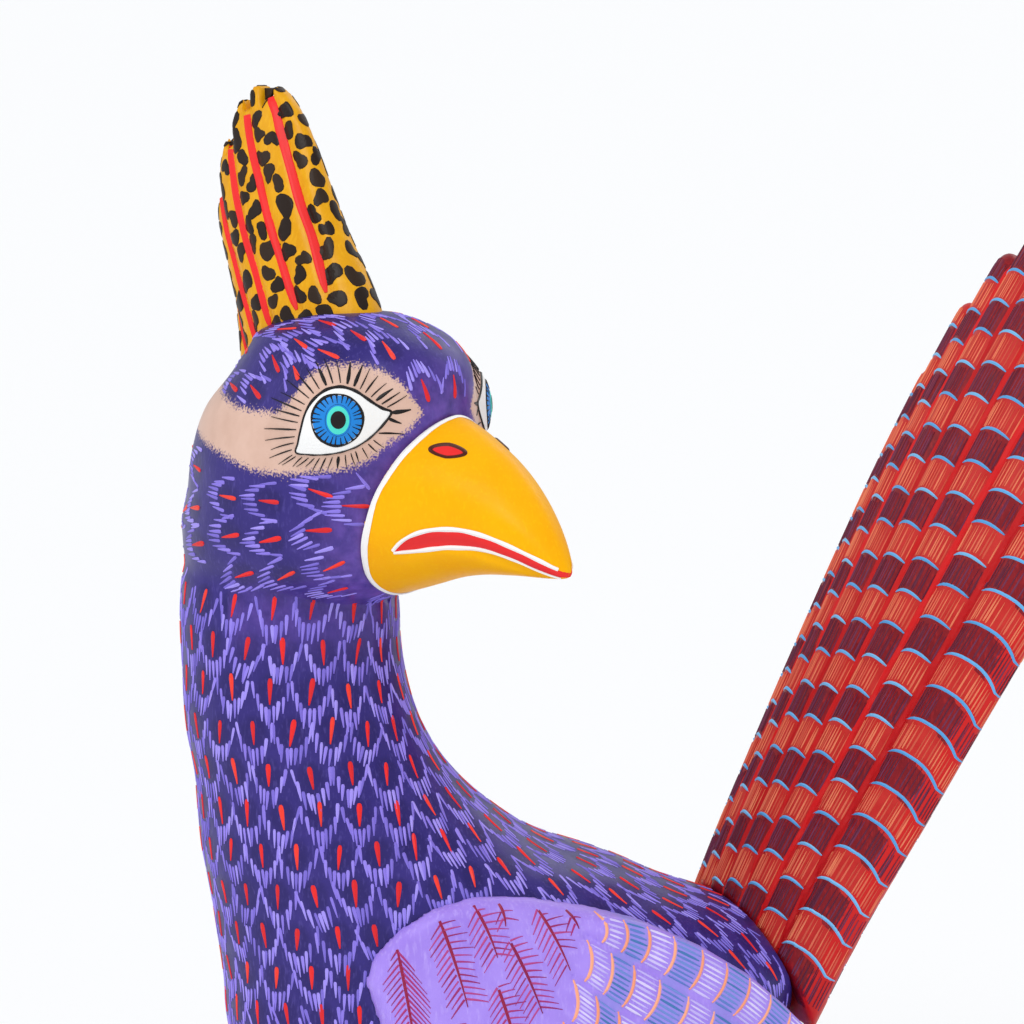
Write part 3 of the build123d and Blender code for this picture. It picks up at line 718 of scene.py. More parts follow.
class Brush:
    """Collects thin raised strokes and dabs of paint, then makes closed meshes of them."""

    def __init__(self, warp=None):
        self.parts, self.warp = [], warp

    def put(self, verts, faces, tone):
        """verts (N, V, 3) and faces (F, 4) of one dab, repeated for N dabs."""
        tone = np.broadcast_to(tone, len(verts))
        self.parts.append((np.asarray(verts, float), np.asarray(faces, int), tone))

    def strokes(self, path, width, normal, height=0.16, tone=0):
        """Short strokes; path (N, K, 3)."""
        n, k, _ = path.shape
        tangent = np.gradient(path, axis=1)
        side = unit(np.cross(normal, tangent)) * (np.broadcast_to(width, (n, k)) / 2)[..., None]
        ring = np.stack([path + side, path + normal * height, path - side, path - normal * 0.3], 2)
        e = 4 * (k - 1)
        faces = tube_faces(k, 4) + [(0, 3, 2, 1), (e, e + 1, e + 2, e + 3)]
        self.put(ring.reshape(n, -1, 3), faces, tone)

    def loop(self, path, width, normal, height=0.2, tone=0):
        """One closed ribbon; path (K, 3)."""
        k = len(path)
        tangent = np.roll(path, -1, 0) - np.roll(path, 1, 0)
        side = unit(np.cross(normal, tangent)) * (np.broadcast_to(width, k) / 2)[:, None]
        ring = np.stack([path + side, path + normal * height, path - side, path - normal * 0.35], 1)
        self.put(ring.reshape(1, -1, 3), tube_faces(k, 4, closed=True), tone)

    def ribbon(self, field, path, width, height=0.3, tone=0):
        """One wide stroke that follows the carved surface on both sides; path (K, 3)."""
        k = len(path)
        normal = field.normal(path)
        side = unit(np.cross(normal, np.gradient(path, axis=0))) * (np.broadcast_to(width, k) / 2)[:, None]
        rows = []
        for across, lift in ((1, 0.0), (0.8, 0.8), (0.4, 1.0), (0, 1.0), (-0.4, 1.0), (-0.8, 0.8), (-1, 0.0)):
            rows.append(field.project(path + side * across, 0.03 + height * lift, 4))
        rows.append(field.project(path, -0.6, 3))
        m = len(rows)
        faces = tube_faces(k, m)
        e = m * (k - 1)
        for i in range(1, m - 1):
            faces += [(0, i + 1, i, -1), (e, e + i, e + i + 1, -1)]
        self.put(np.stack(rows, 1).reshape(1, -1, 3), faces, tone)

    def dabs(self, field, ring, lift, tone=0, inner=(0.5,)):
        """Filled patches; ring (N, M, 3) counter-clockwise outlines near the surface."""
        m = ring.shape[1]
        mid = ring.mean(1, keepdims=True)
        shells = [(1.0, 0.1), (0.92, 1.0)] + [(f, 1.1) for f in inner]
        layers = [field.project(mid + (ring - mid) * f, lift * h) for f, h in shells]
        layers += [field.project(mid, lift * 1.1), field.project(mid, -0.5)]
        faces = []
        last = (len(shells) - 1) * m
        for j in range(m):
            i = (j + 1) % m
            for base in range(0, last, m):
                faces.append((base + j, base + i, base + m + i, base + m + j))
            faces += [(last + j, last + i, last + m, -1), (i, j, last + m + 1, -1)]
        self.put(np.concatenate(layers, 1), faces, tone)

    def emit(self, name, materials, slot, body="figure"):
        """The collected paint as mesh pieces; one that would be too large is cut into several."""
        verts, faces, tone, count, base, made = [], [], [], 0, 0, 0

        def flush():
            nonlocal verts, faces, tone, count, base, made
            v, f = np.concatenate(verts), np.concatenate(faces)
            if self.warp is not None:
                turned = np.concatenate([f[:, 2::-1], f[:, 3:]], 1)
                v, f = self.warp(v), np.where(f[:, 3:] < 0, turned, f[:, ::-1])
            label = name if made == 0 else "%s_%d" % (name, made + 1)
            ob = add_mesh(label, v, f, materials, body, smooth=False, tones=np.concatenate(tone))
            verts, faces, tone, count, base = [], [], [], 0, 0
            made += 1

        for v, f, t in self.parts:
            start = 0
            while start < len(v):
                n = min(len(v) - start, max(1, (PIECE_FACES - count) // len(f)))
                off = base + np.arange(n)[:, None, None] * v.shape[1]
                verts.append(v[start:start + n].reshape(-1, 3))
                faces.append(np.where(f[None] < 0, -1, f[None] + off).reshape(-1, 4))
                tone.append(np.repeat(t[start:start + n], len(f)))
                base += n * v.shape[1]
                count += n * len(f)
                start += n
                if count >= PIECE_FACES - len(f):
                    flush()
        if verts:
            flush()


def hair_path(field, start, direction, length, at):
    """(N, K, 3) points along the surface, at fractions of each length, and their normals."""
    p = start[:, None, :] + direction[:, None, :] * (length[:, None] * arr(*at))[..., None]
    p = field.project(p, 0.03, 4)
    return p, field.normal(p)


def spaced(points, gap, kept=()):
    """Points in turn, each kept if it is more than gap from all those kept before."""
    kept = list(kept)
    for p in points:
        if not kept or (np.linalg.norm(np.array(kept) - p, axis=1) > gap).all():
            kept.append(p)
    return kept


# -------- trunk paint
TRUNK_V, TRUNK_Q = TRUNK.mesh()

# The bare band's upper and lower edges, as heights over degrees round from the beak.
SKIN_TOP = ([-10, 14, 22, 30, 42, 55, 60, 65, 77, 98, 112, 126, 142, 160, 180],
            [296, 297.5, 304.5, 307.8, 309.2, 307.8, 305.2, 300.6, 296.0, 296.6, 298.0, 300.0, 301.5, 302.0,
             302.0])
SKIN_LOW = ([-10, 14, 20, 28, 34, 43, 55, 72, 89, 104, 126, 142, 160, 180],
            [297, 295.0, 291.5, 288.0, 284.5, 282.0, 281.0, 279.9, 280.9, 283.4, 286.5, 289.0, 291.0, 291.5])


def skin_depth(p):
    """Signed distance into the bare-coloured band round the eyes, mm."""
    s, q, z = head_sqz(p)
    a = np.degrees(np.arctan2(np.abs(q), s - 17.0))
    return np.minimum(curve(a, *SKIN_TOP) - z, z - curve(a, *SKIN_LOW)) - np.maximum(15.5 - a, 0) * 0.5


# Scales run away from the first point on the head and from the second on the body.
P_BEAK, P_CROWN = head_xyz(50.0, 0.0, 272.0), arr(-60.0, 0.0, 330.0)


def plumage_flow(p, n):
    on_head = step(p[..., 2], 236.0, 262.0)[..., None]
    d = unit(p - P_BEAK) * on_head + unit(p - P_CROWN) * (1 - on_head)
    return unit(d - (d * n).sum(-1, keepdims=True) * n)


def covered(p, slack=0.0):
    """Points under another piece or on a joint face."""
    m = right_side(p)
    wing = (WING_F.sample(m) < slack) & (m > arr(*WING_LO)).all(-1) & (m < arr(*WING_HI)).all(-1)
    by_leg = (m[..., 2] < 92) & (m[..., 0] > -18) & (m[..., 0] < 34) & (m[..., 1] > 8)
    leg = (LEG_F.sample(m) < slack) & by_leg
    crest = (CREST_F.sample(p) < slack + 0.3) & (p[..., 2] > 301)
    beak = (past_beak_seat(p) > -1.2 - slack) & (p[..., 2] > 240)
    return wing | leg | crest | beak | (past_rump(p) > -0.8 - slack)


SECTORS = 160       # steps round a ring in which its points are averaged


def even_ring(points, source, spacing, shift):
    """Evenly spaced places on the closed line that the points form round the axis from source."""
    c = points.mean(0)
    axis = unit(c - source)
    e1 = unit(np.cross(axis, arr(0.3, 0.9, 0.2)))
    e2 = np.cross(axis, e1)
    turn = np.arctan2((points - c) @ e2, (points - c) @ e1)
    sector = np.clip(((turn + math.pi) / (2 * math.pi) * SECTORS).astype(int), 0, SECTORS - 1)
    hits = np.bincount(sector, minlength=SECTORS)
    total = np.stack([np.bincount(sector, points[:, i], SECTORS) for i in range(3)], 1)
    mean = total[hits > 0] / hits[hits > 0][:, None]
    loop = np.concatenate([mean, mean[:1]])
    far = np.concatenate([[0], np.cumsum(np.linalg.norm(np.diff(loop, axis=0), axis=1))])
    n = max(3, int(round(far[-1] / spacing)))
    at = (np.arange(n) + shift) / n * far[-1] % far[-1]
    return np.stack([np.interp(at, far, loop[:, i]) for i in range(3)], 1)


def ring_spots(source, radii, spacing, keep):
    """Places for scales in rings round a source point, shifted by half a space in every other ring."""
    r = np.linalg.norm(TRUNK_V - source, axis=1)
    ok = keep(TRUNK_V)
    rings = []
    for row, radius in enumerate(radii):
        points = TRUNK_V[(np.abs(r - radius) < 1.1) & ok]
        if len(points) >= 25:
            rings.append(even_ring(points, source, spacing, 0.5 * (row % 2) + 0.25))
    spots = np.concatenate(rings)
    moved = TRUNK.project(spots, 0.0, 6)
    near = np.linalg.norm(moved - spots, axis=1) < 2.4
    return moved[near & keep(moved)]


ROW_GAP, SCALE_GAP, FILL_GAP = 10.9, 7.8, 9.6      # between rows, and the least between scales


def feathered(p):
    return ~covered(p, -0.5) & (skin_depth(p) < -2.6)


def plumage():
    """Where each scale lies, with its normal, the way it points and the way across it."""
    head = ring_spots(P_BEAK, np.arange(10.2, 112.0, ROW_GAP), 11.0, lambda p: p[:, 2] > 249.0)
    rest = ring_spots(P_CROWN, np.arange(72.0, 300.0, ROW_GAP), 11.1, lambda p: p[:, 2] < 253.0)
    spots = np.concatenate([head, rest])
    spots = spaced(TRUNK.project(spots + rng.normal(0, 0.35, spots.shape)), SCALE_GAP)
    fill = TRUNK_V[feathered(TRUNK_V)]
    spots = np.array(spaced(fill[rng.permutation(len(fill))[:9000]], FILL_GAP, spots))
    spots = spots[feathered(spots)]
    n = TRUNK.normal(spots)
    f = plumage_flow(spots, n)
    lean = rng.normal(0, 0.07, len(spots))[:, None]
    side = np.cross(n, f)
    return spots, n, unit(f + side * lean), unit(side - f * lean)


SPOTS, SPOT_N, SPOT_F, SPOT_S = plumage()


U_STROKES = 9


def scales(field, spots, flow, side, free, warp=None):
    """Round each spot a red drop, and behind it a U of short lilac strokes that meets its neighbours."""
    fringe, drops = Brush(warp), Brush(warp)
    k = len(spots)
    size = rng.normal(1.0, 0.05, k)
    lean = rng.normal(0.0, 0.10, k)
    hairs = []
    for i in range(U_STROKES):
        x = (i / (U_STROKES - 1) * 2 - 1) * 5.25
        y = 4.3 - 7.6 * (abs(x) / 5.5) ** 2.4
        start = spots + side * (x * size + rng.normal(0, 0.13, k))[:, None]
        start = start + flow * (y * size + rng.normal(0, 0.3, k))[:, None]
        way = unit(flow + side * (lean + rng.normal(0.0, 0.05, k) - x * 0.02)[:, None])
        length = rng.uniform(4.7, 5.7, k) * size
        hairs.append((start, way, length, rng.uniform(0.82, 1.12, k), rng.integers(0, 4, k)))
    start, way, length, w, tone = (np.concatenate(a) for a in zip(*hairs))
    path, n = hair_path(field, start, way, length, (0, 0.12, 0.5, 1.0))
    whole = np.linalg.norm(path[:, 3] - path[:, 0], axis=1) > 2.5
    ok = free(path[:, 1], 0.15) & free(path[:, 3], 0.0) & whole
    fringe.strokes(path[ok], w[ok][:, None] * arr(0.6, 1.0, 0.85, 0.35), n[ok], 0.17, tone[ok])

    long = rng.uniform(6.2, 7.6, k)
    way = unit(flow + side * rng.normal(0, 0.09, k)[:, None])
    path, n = hair_path(field, spots - way * (long * 0.5)[:, None], way, long, (0, 0.08, 0.22, 0.5, 0.8, 1))
    ok = free(path[:, 0], 0.1) & free(path[:, 5], 0.1)
    w = rng.uniform(1.2, 1.6, k)[:, None] * arr(0.45, 0.85, 1.0, 0.8, 0.5, 0.25)
    drops.strokes(path[ok], w[ok], n[ok], 0.24, rng.integers(0, 3, k)[ok])
    return fringe, drops


def paint_plumage():
    def free(p, slack):
        return ~covered(p, slack) & (skin_depth(p) < 0.1)

    fringe, drops = scales(TRUNK, SPOTS, SPOT_F, SPOT_S, free)
    fringe.emit("plumage_strokes", LILAC_TONES, "indigo_paint")
    drops.emit("plumage_drops", RED_TONES, "indigo_paint")


def thigh_spots():
    spots = []
    for row, h in enumerate((0.66, 0.80, 0.94)):
        for i in range(7):
            turn = 2 * math.pi * (i + 0.5 * (row % 2)) / 7
            out = math.cos(turn) * LEG_FORE + math.sin(turn) * LEG_SIDE
            spots.append(ANKLE + LEG_AXIS * LEG_LEN * h + 19.0 * out)
    return LEG_F.project(np.array(spots), 0.0, 12)


def shank_rings(brush):
    """Scute lines round the yellow shank."""
    turn = np.linspace(-1.9, 1.9, 15)
    around = -np.cos(turn)[:, None] * LEG_FORE + np.sin(turn)[:, None] * LEG_SIDE
    width = 0.8 * np.interp(turn, [-1.9, -1, 1, 1.9], [0.4, 1, 1, 0.4])
    for h in np.arange(0.07, 0.40, 0.055):
        p = ANKLE + LEG_AXIS * (LEG_LEN * h + 1.2 * np.cos(turn)[:, None]) + 16.0 * around
        p = LEG_F.along(p, -around, 0.05)
        brush.strokes(p[None], width[None], LEG_F.normal(p)[None], 0.22)


def paint_thighs():
    """The trunk's scales on the purple part of each leg, and lines on the shank; both legs alike."""
    spots = thigh_spots()
    n = LEG_F.normal(spots)
    flow = unit(-LEG_AXIS + n * (n @ LEG_AXIS)[:, None])
    keep = body_shape(spots) > 0.5

    def free(p, slack):
        return (body_shape(p) > 0.9) & (p[:, 2] > 52.0)

    state = rng.bit_generator.state
    for name, warp in (("right", None), ("left", mirror_points)):
        rng.bit_generator.state = state
        fringe, drops = scales(LEG_F, spots[keep], flow[keep], np.cross(n, flow)[keep], free, warp)
        fringe.emit("%s_thigh_strokes" % name, LILAC_TONES, "indigo_paint")
        drops.emit("%s_thigh_drops" % name, RED_TONES, "indigo_paint")
        rings = Brush(warp)
        shank_rings(rings)
        rings.emit("%s_shank_lines" % name, RED_TONES, "indigo_paint")


def paint_toes():
    """Scute lines across the toes."""
    w = np.linspace(-3.6, 3.6, 9)
    width = 0.75 * arr(0.4, 0.8, 1, 1, 1, 1, 1, 0.8, 0.4)
    for name, warp in (("right", None), ("left", mirror_points)):
        lines = Brush(warp)
        for heading, length in TOES:
            u = heading_dir(heading)
            across = np.cross(UP, u)
            for far in np.arange(15.0, length - 7.0, 4.4):
                p = FOOT + u * (far + 1.0 - 0.08 * w[:, None] ** 2) + across * w[:, None] + UP * 18.0
                p = FOOT_F.along(p, -UP, 0.05)
                lines.strokes(p[None], width[None], FOOT_F.normal(p)[None], 0.22)
        lines.emit("%s_toe_lines" % name, RED_TONES, "yellow_paint")


# -------- eyes
ALMOND = [  # outline of the white, as (forward, up) from the iris
    (-10.4, -8.9), (-10.1, -6.5), (-9.7, -3.5), (-8.6, 1.3), (-6.6, 4.9), (-3.3, 7.6), (0.7, 8.5), (4.8, 7.3),
    (8.9, 4.5), (12.0, 2.6), (14.4, 1.5), (11.8, -1.9), (8.4, -5.0), (4.6, -7.3), (0.2, -8.7), (-4.1, -9.3),
    (-7.5, -9.3)]
RINGS = (0.8, 0.66, 0.52, 0.38, 0.24, 0.1)     # rings inside a wide dab, as parts of its outline
IRIS_U, IRIS_V, IRIS_R = -0.25, -0.1, 6.7
SPOKES = 27


def smooth_loop(points, n):
    """n points on the closed smooth curve through the given ones."""
    pts = np.array(points, float)
    u = np.linspace(0, len(pts), n, endpoint=False)
    i = u.astype(int) % len(pts)
    f = (u - u.astype(int))[:, None]
    p0, p1, p2, p3 = (np.roll(pts, shift, 0)[i] for shift in (1, 0, -1, -2))
    square, cube = (2 * p0 - 5 * p1 + 4 * p2 - p3) * f ** 2, (3 * p1 - p0 - 3 * p2 + p3) * f ** 3
    return 0.5 * (2 * p1 + (p2 - p0) * f + square + cube)


class EyePlane:
    """The tangent plane at an iris, its (forward, up) points dropped onto the head; side 1 is the right."""

    def __init__(self, side):
        self.mid = TRUNK.project(head_xyz(arr(46.0), 30.4 * side, 295.2))[0]
        self.n = TRUNK.normal(self.mid)
        self.fore = facing(unit(np.cross(UP, self.n)), HEAD_F)
        self.rise = facing(unit(np.cross(self.n, self.fore)), UP)
        self.turn = 1 if np.cross(self.fore, self.rise) @ self.n > 0 else -1

    def on(self, u, v, lift=0.0):
        over = 3.0 - 0.012 * (u * u + v * v)
        p = self.mid + u[..., None] * self.fore + v[..., None] * self.rise + self.n * over[..., None]
        return TRUNK.along(p, -self.n, lift)

    def path(self, u, v, lift):
        p = self.on(u, v, lift)
        return p, TRUNK.normal(p)


def eye_discs(plane, brush):
    """White almond, blue iris in a dark ring, and the pupil in an aqua oval."""
    edge = smooth_loop(ALMOND, 72)[::-plane.turn]
    brush["white"].dabs(TRUNK, plane.on(*edge.T)[None], 0.24, inner=RINGS)
    a = np.linspace(0, 2 * math.pi, 48, endpoint=False)[::plane.turn]

    def oval(wide, high, v=IRIS_V):
        return IRIS_U + wide * np.cos(a), v + high * np.sin(a)

    brush["blue"].dabs(TRUNK, plane.on(*oval(IRIS_R, IRIS_R))[None], 0.40, inner=RINGS[::2])
    p, n = plane.path(*oval(IRIS_R, IRIS_R), 0.2)
    brush["black"].loop(p, 0.85 + 0.3 * np.sin(3 * a + 1) + 0.15 * np.sin(7 * a), n, 0.26)
    brush["aqua"].dabs(TRUNK, plane.on(*oval(3.1, 3.9))[None], 0.54)
    brush["black"].dabs(TRUNK, plane.on(*oval(2.1, 2.45, 0.0))[None], 0.66)
    p, n = plane.path(*oval(3.3, 4.1), 0.28)
    brush["black"].loop(p, 0.3, n, 0.2)


def eye_lines(plane, black):
    """Short spokes in the iris and the dark line round the almond."""
    for i in range(SPOKES):
        t = 2 * math.pi * (i + rng.uniform(-0.25, 0.25)) / SPOKES
        r = np.linspace(6.5, rng.uniform(4.0, 4.8), 4)
        p, n = plane.path(IRIS_U + r * np.cos(t), IRIS_V + r * np.sin(t), 0.3)
        black.strokes(p[None], arr(0.75, 0.7, 0.5, 0.25), n[None], 0.26)
    rim = smooth_loop(ALMOND, 96)[::plane.turn]
    p, n = plane.path(*rim.T, 0.1)
    top = np.clip(rim[:, 1] / 8.0, -1, 1)
    black.loop(p, 0.78 + 0.28 * top + 0.15 * np.sin(rim[:, 0] * 1.7), n, 0.3)


def lash(plane, black, root, way, length, width, bend):
    """One tapered stroke, left out where it would reach the beak."""
    t = np.linspace(0, 1, 5)
    du, dv = way / np.hypot(*way)
    u = root[0] + du * length * t - dv * bend * t * t
    v = root[1] + dv * length * t + du * bend * t * t
    p, n = plane.path(u, v, 0.05)
    if (past_beak_seat(p) < -1.5).all():
        black.strokes(p[None], width * arr(0.55, 1.0, 0.9, 0.6, 0.28), n[None], 0.2)


def eye_lashes(plane, black):
    """Lashes all round the almond but for its front corner, which has two long strokes."""
    rim = smooth_loop(ALMOND, 340)
    far = np.cumsum(np.linalg.norm(np.diff(np.concatenate([rim, rim[:1]]), axis=0), axis=1))
    at = 0.0
    while at < far[-1]:
        root = rim[int(np.searchsorted(far, at)) % len(rim)]
        u, v = root
        if u > 12.3 or (u > 10.0 and v < 0.6):
            at += 0.5
            continue
        out = unit(root - arr(0.0, -1.2))
        if v > -8.2 and (v > -0.16 * (u + 14) * 0.6 - 2.0 or u < -8.5):
            gap, length = 1.7, rng.uniform(5.4, 7.0)
            width = rng.choice([0.42, 0.55, 1.0], p=[0.4, 0.4, 0.2])
            out = unit(out + arr(0.15 if u > 2 else -0.12, 0.25 if u > -6 else 0.1))
        else:
            gap, length = 1.5, rng.uniform(3.0, 4.2)
            width = rng.choice([0.35, 0.45, 0.9], p=[0.5, 0.35, 0.15])
            out = unit(out + arr(-0.25 if u < 0 else -0.1, -0.3))
        lash(plane, black, root + out * 1.1, out, length, width, rng.uniform(-0.5, 0.5))
        at += gap * rng.uniform(0.85, 1.15)
    lash(plane, black, arr(14.4, 1.5), arr(1.0, 0.05), 5.4, 1.2, 0.4)
    lash(plane, black, arr(13.4, 0.1), arr(1.0, -0.50), 4.0, 0.9, 0.3)


def eye(side, label):
    plane = EyePlane(side)
    brush = {k: Brush() for k in ("white", "blue", "aqua", "black")}
    eye_discs(plane, brush)
    eye_lines(plane, brush["black"])
    eye_lashes(plane, brush["black"])
    for key, paints in (("white", EYE_WHITE), ("blue", EYE_BLUE), ("aqua", EYE_AQUA), ("black", EYE_BLACK)):
        brush[key].emit("%s_eye_%s" % (label, key), paints, "indigo_paint")


# -------- beak paint
UPPER_LIP = [  # (forward, height) of the white lines over and under the red mouth
    (54.6, 259.9), (57.0, 262.1), (60.5, 264.2), (66.0, 266.1), (73.0, 266.7), (80.5, 265.4), (88.0, 262.4),
    (94.8, 258.9), (98.0, 256.9)]
LOWER_LIP = [
    (54.6, 259.9), (60.0, 260.5), (66.0, 261.5), (71.0, 262.1), (79.0, 261.9), (87.0, 259.4), (93.8, 256.2),
    (97.6, 254.9)]


def beak_side(s, z, side, lift):
    """Points of the beak's flank at (forward, height)."""
    return BEAK_F.along(head_xyz(s, 34.0 * side, z), -HEAD_R * side, lift)


def round_tip(p, z, side, lift):
    """The line carried on to the middle of the beak's tip."""
    end = BEAK_F.project(head_xyz(arr(98.9, 99.4), arr(1.3, 0.15) * side, arr(z, z - 0.3)), lift)
    return np.concatenate([p, end])


def beak_collar(white):
    """The white line round the beak where it meets the head."""
    rise = unit(HEAD_F * (BEAK_TOP[0] - BEAK_BOTTOM[0]) + UP * (BEAK_TOP[1] - BEAK_BOTTOM[1]))
    out = unit(np.cross(rise, HEAD_R))
    a = np.linspace(0, 2 * math.pi, 120, endpoint=False)
    ring = (np.cos(a)[:, None] * HEAD_R + np.sin(a)[:, None] * rise)[::-1]
    wave = 0.25 * np.sin(7 * a) + 0.2 * np.sin(11 * a + 1)
    start = head_xyz(arr(50.5), 0.0, 271.0)[0] + ring * 42.0 + out * (0.75 + 0.4 * wave)[:, None]
    p = BEAK_F.along(start, -ring, 0.05)
    white.loop(p, 1.75 + 0.25 * np.sin(5 * a), BEAK_F.normal(p), 0.35)


def closed_strip(rows, flip):
    """Vertices and faces of a flat tube through the rows, closed by a fan at each end."""
    k, m = rows.shape[:2]
    c0, c1 = k * m, k * m + 1
    verts = np.concatenate([rows.reshape(-1, 3), rows[:, 0].mean(0)[None], rows[:, -1].mean(0)[None]])
    walls, fans = [], []
    for i in range(k):
        i2 = (i + 1) % k
        walls += [(i * m + j, i * m + j + 1, i2 * m + j + 1, i2 * m + j) for j in range(m - 1)]
        fans += [(c0, i * m, i2 * m, -1), (c1, i2 * m + m - 1, i * m + m - 1, -1)]
    if flip:
        walls = [q[::-1] for q in walls]
        fans = [(a, c, b, -1) for a, b, c, _ in fans]
    return verts, walls + fans


def mouth(side, red, white):
    """The red gape on one side, and a white line along each of its edges."""
    (us, uz), (ls, lz) = (on_line(line, np.linspace(0, 1, 34)) for line in (UPPER_LIP, LOWER_LIP))
    rows = []
    for f in np.linspace(0, 1, 7):
        p = beak_side(us * (1 - f) + ls * f, uz * (1 - f) + lz * f, side, 0.0)
        p = round_tip(p, 256.4 * (1 - f) + 254.6 * f, side, 0.0)
        rows.append(p + BEAK_F.normal(p) * (0.14 if 0 < f < 1 else 0.0))
    rows.append(round_tip(beak_side((us + ls) / 2, (uz + lz) / 2, side, -0.7), 255.5, side, -0.7))
    verts, faces = closed_strip(np.stack(rows, 0), side > 0)
    red.put(verts[None], faces, 0)
    for s, z in ((us, uz + 0.2), (ls, lz - 0.3)):
        p = beak_side(s, z, side, 0.08)
        wave = 1 + 0.1 * np.sin(np.arange(len(p)) * 1.1)
        width = 1.35 * (0.75 + 0.25 * np.sin(np.linspace(0, math.pi, len(p)))) * wave
        white.strokes(p[None], width[None], BEAK_F.normal(p)[None], 0.3)


def nostril(side, red, dark):
    """A red oval in a dark outline."""
    c = beak_side(arr(67.0), arr(286.9), side, 0.0)[0]
    n = BEAK_F.normal(c)
    fore = unit(HEAD_F - n * (HEAD_F @ n) + UP * 0.42)
    fore = unit(fore - n * (fore @ n))
    rise = facing(np.cross(n, fore), UP)
    turn = 1 if np.cross(fore, rise) @ n > 0 else -1
    b = np.linspace(0, 2 * math.pi, 40, endpoint=False)
    x = (4.7 * np.cos(b))[::turn]
    y = (2.1 * np.sin(b) * (1 - 0.25 * np.abs(np.cos(b))))[::turn]
    outline = BEAK_F.project(c + x[:, None] * fore + y[:, None] * rise)
    red.dabs(BEAK_F, (c + (outline - c) * 0.88)[None], 0.12)
    p = BEAK_F.project(outline, 0.08)
    dark.loop(p, 1.15 + 0.2 * np.sin(b), BEAK_F.normal(p), 0.34)


def beak_paint():
    white, red, dark = Brush(), Brush(), Brush()
    beak_collar(white)
    for side in (1, -1):
        mouth(side, red, white)
        nostril(side, red, dark)
    white.emit("beak_white_lines", WHITE_TONES, "yellow_paint")
    red.emit("beak_red_lines", RED_TONES, "yellow_paint")
    dark.emit("nostril_lines", BROWN_TONES, "yellow_paint")


# -------- crest paint
def crest_stripes():
    """A red stripe down each valley on both sides, as far as it meets the carved crest."""
    stripes = Brush()
    t = np.linspace(0, 1, 30)
    taper = np.interp(t, [0, 0.02, 0.06, 0.9, 0.97, 1], [0.5, 0.8, 1.0, 1.0, 0.8, 0.35])
    for line, width in zip(CREST_STRIPES, (2.7, 2.5, 2.3, 1.9, 1.1)):
        s, z = np.array(line).T
        u = np.linspace(0, 1, len(s))
        s, z = curve(t, u, s), curve(t, u, z)
        w = width * taper * (1 + 0.05 * np.sin(t * 23))
        for side in (1, -1):
            p = CREST_F.along(head_xyz(s, 24.0 * side, z), -HEAD_R * side)
            met = CREST_F.touches(p)
            first = int(met.argmax())
            last = first + int((~np.append(met[first:], False)).argmax())
            stripes.ribbon(CREST_F, p[first:last], w[first:last], 0.3)
    stripes.emit("crest_red_stripes", RED_TONES, "crest_paint")


BLOT_GAP = 4.7


def crest_blots():
    """Dark uneven blots between the stripes, nearly touching."""
    verts, _ = CREST_F.mesh()
    s, _, z = head_sqz(verts)
    clear = np.min([line_distance(s, z, line) for line in CREST_STRIPES], axis=0) > 2.2
    verts = verts[(over_crest_seat(s, z) > 2.6) & clear]
    spots = np.array(spaced(verts[rng.permutation(len(verts))], BLOT_GAP))
    k = len(spots)
    n = CREST_F.normal(spots)
    rise = UP * 0.9 - HEAD_F * 0.45
    along = unit(rise - n * (rise @ n.T)[:, None])
    side = np.cross(n, along)
    gap = np.linalg.norm(spots[:, None] - spots[None], axis=-1) + 99 * np.eye(k)
    size = np.clip(0.485 * gap.min(1), 1.9, 3.0)[:, None]
    a = np.linspace(0, 2 * math.pi, 16, endpoint=False)
    turn = rng.uniform(0, 2 * math.pi, (k, 3))
    r = 1.0 + 0.20 * np.cos(2 * a + turn[:, :1]) + 0.14 * np.cos(3 * a + turn[:, 1:2])
    from_notch = (a - turn[:, 2:] + math.pi) % (2 * math.pi) - math.pi
    notch = rng.uniform(0.15, 0.5, (k, 1)) * np.exp(-(from_notch / 0.5) ** 2)
    r = (r - notch) * size * rng.uniform(0.9, 1.0, (k, 1))
    x, y = r * np.cos(a), r * np.sin(a) * 1.15
    ring = spots[:, None] - side[:, None] * x[..., None] + along[:, None] * y[..., None]
    blots = Brush()
    blots.dabs(CREST_F, CREST_F.project(ring), 0.18, rng.integers(0, 2, k), inner=(0.72, 0.5, 0.28))
    blots.emit("crest_spots", BLOT_TONES, "crest_paint")


# -------- wing paint
STEMS = [  # shoulder feathers, top to bottom, as (x, z)
    ((-53.0, 152.5), (-48.0, 118.0)), ((-42.0, 159.5), (-35.0, 135.0)), ((-32.0, 162.5), (-26.5, 148.0)),
    ((-24.5, 162.0), (-23.5, 156.0)), ((-13.5, 160.0), (-6.5, 143.5)), ((-23.0, 152.5), (-15.0, 132.5)),
    ((-5.0, 158.8), (-2.5, 154.0)), ((-27.0, 140.5), (-21.5, 118.0)), ((-39.5, 130.0), (-34.0, 108.0)),
    ((-15.0, 128.5), (-13.0, 118.0)), ((-28.5, 114.0), (-24.0, 100.5)),
]
SHOULDER_END = ([95, 108.5, 119.5, 131, 142, 152, 161], [-23, -18, -13, -9.5, -6, -1, 3])
BANDS = np.cumsum([0.0, 7.2, 7.6, 8.8, 10.0] + [9.4] * 13)     # from the shoulder down each feather


def row_bands(row):
    return BANDS * (1 + 0.05 * ((row * 7) % 3 - 1))


def in_row(row, mm, v):
    """(x, z) at distance mm along a flight feather, and v from its upper (0) to its lower (1) line."""
    length = line_length(FEATHERS[row])
    t = (mm + 1.9 * np.sin(v * math.pi)) / length
    ux, uz = on_line(FEATHERS[row], np.clip(t, 0, 1))
    lx, lz = on_line(FEATHERS[row + 1], np.clip(t + 0.028 * (1 - t), 0, 1))
    return ux * (1 - v) + lx * v, uz * (1 - v) + lz * v


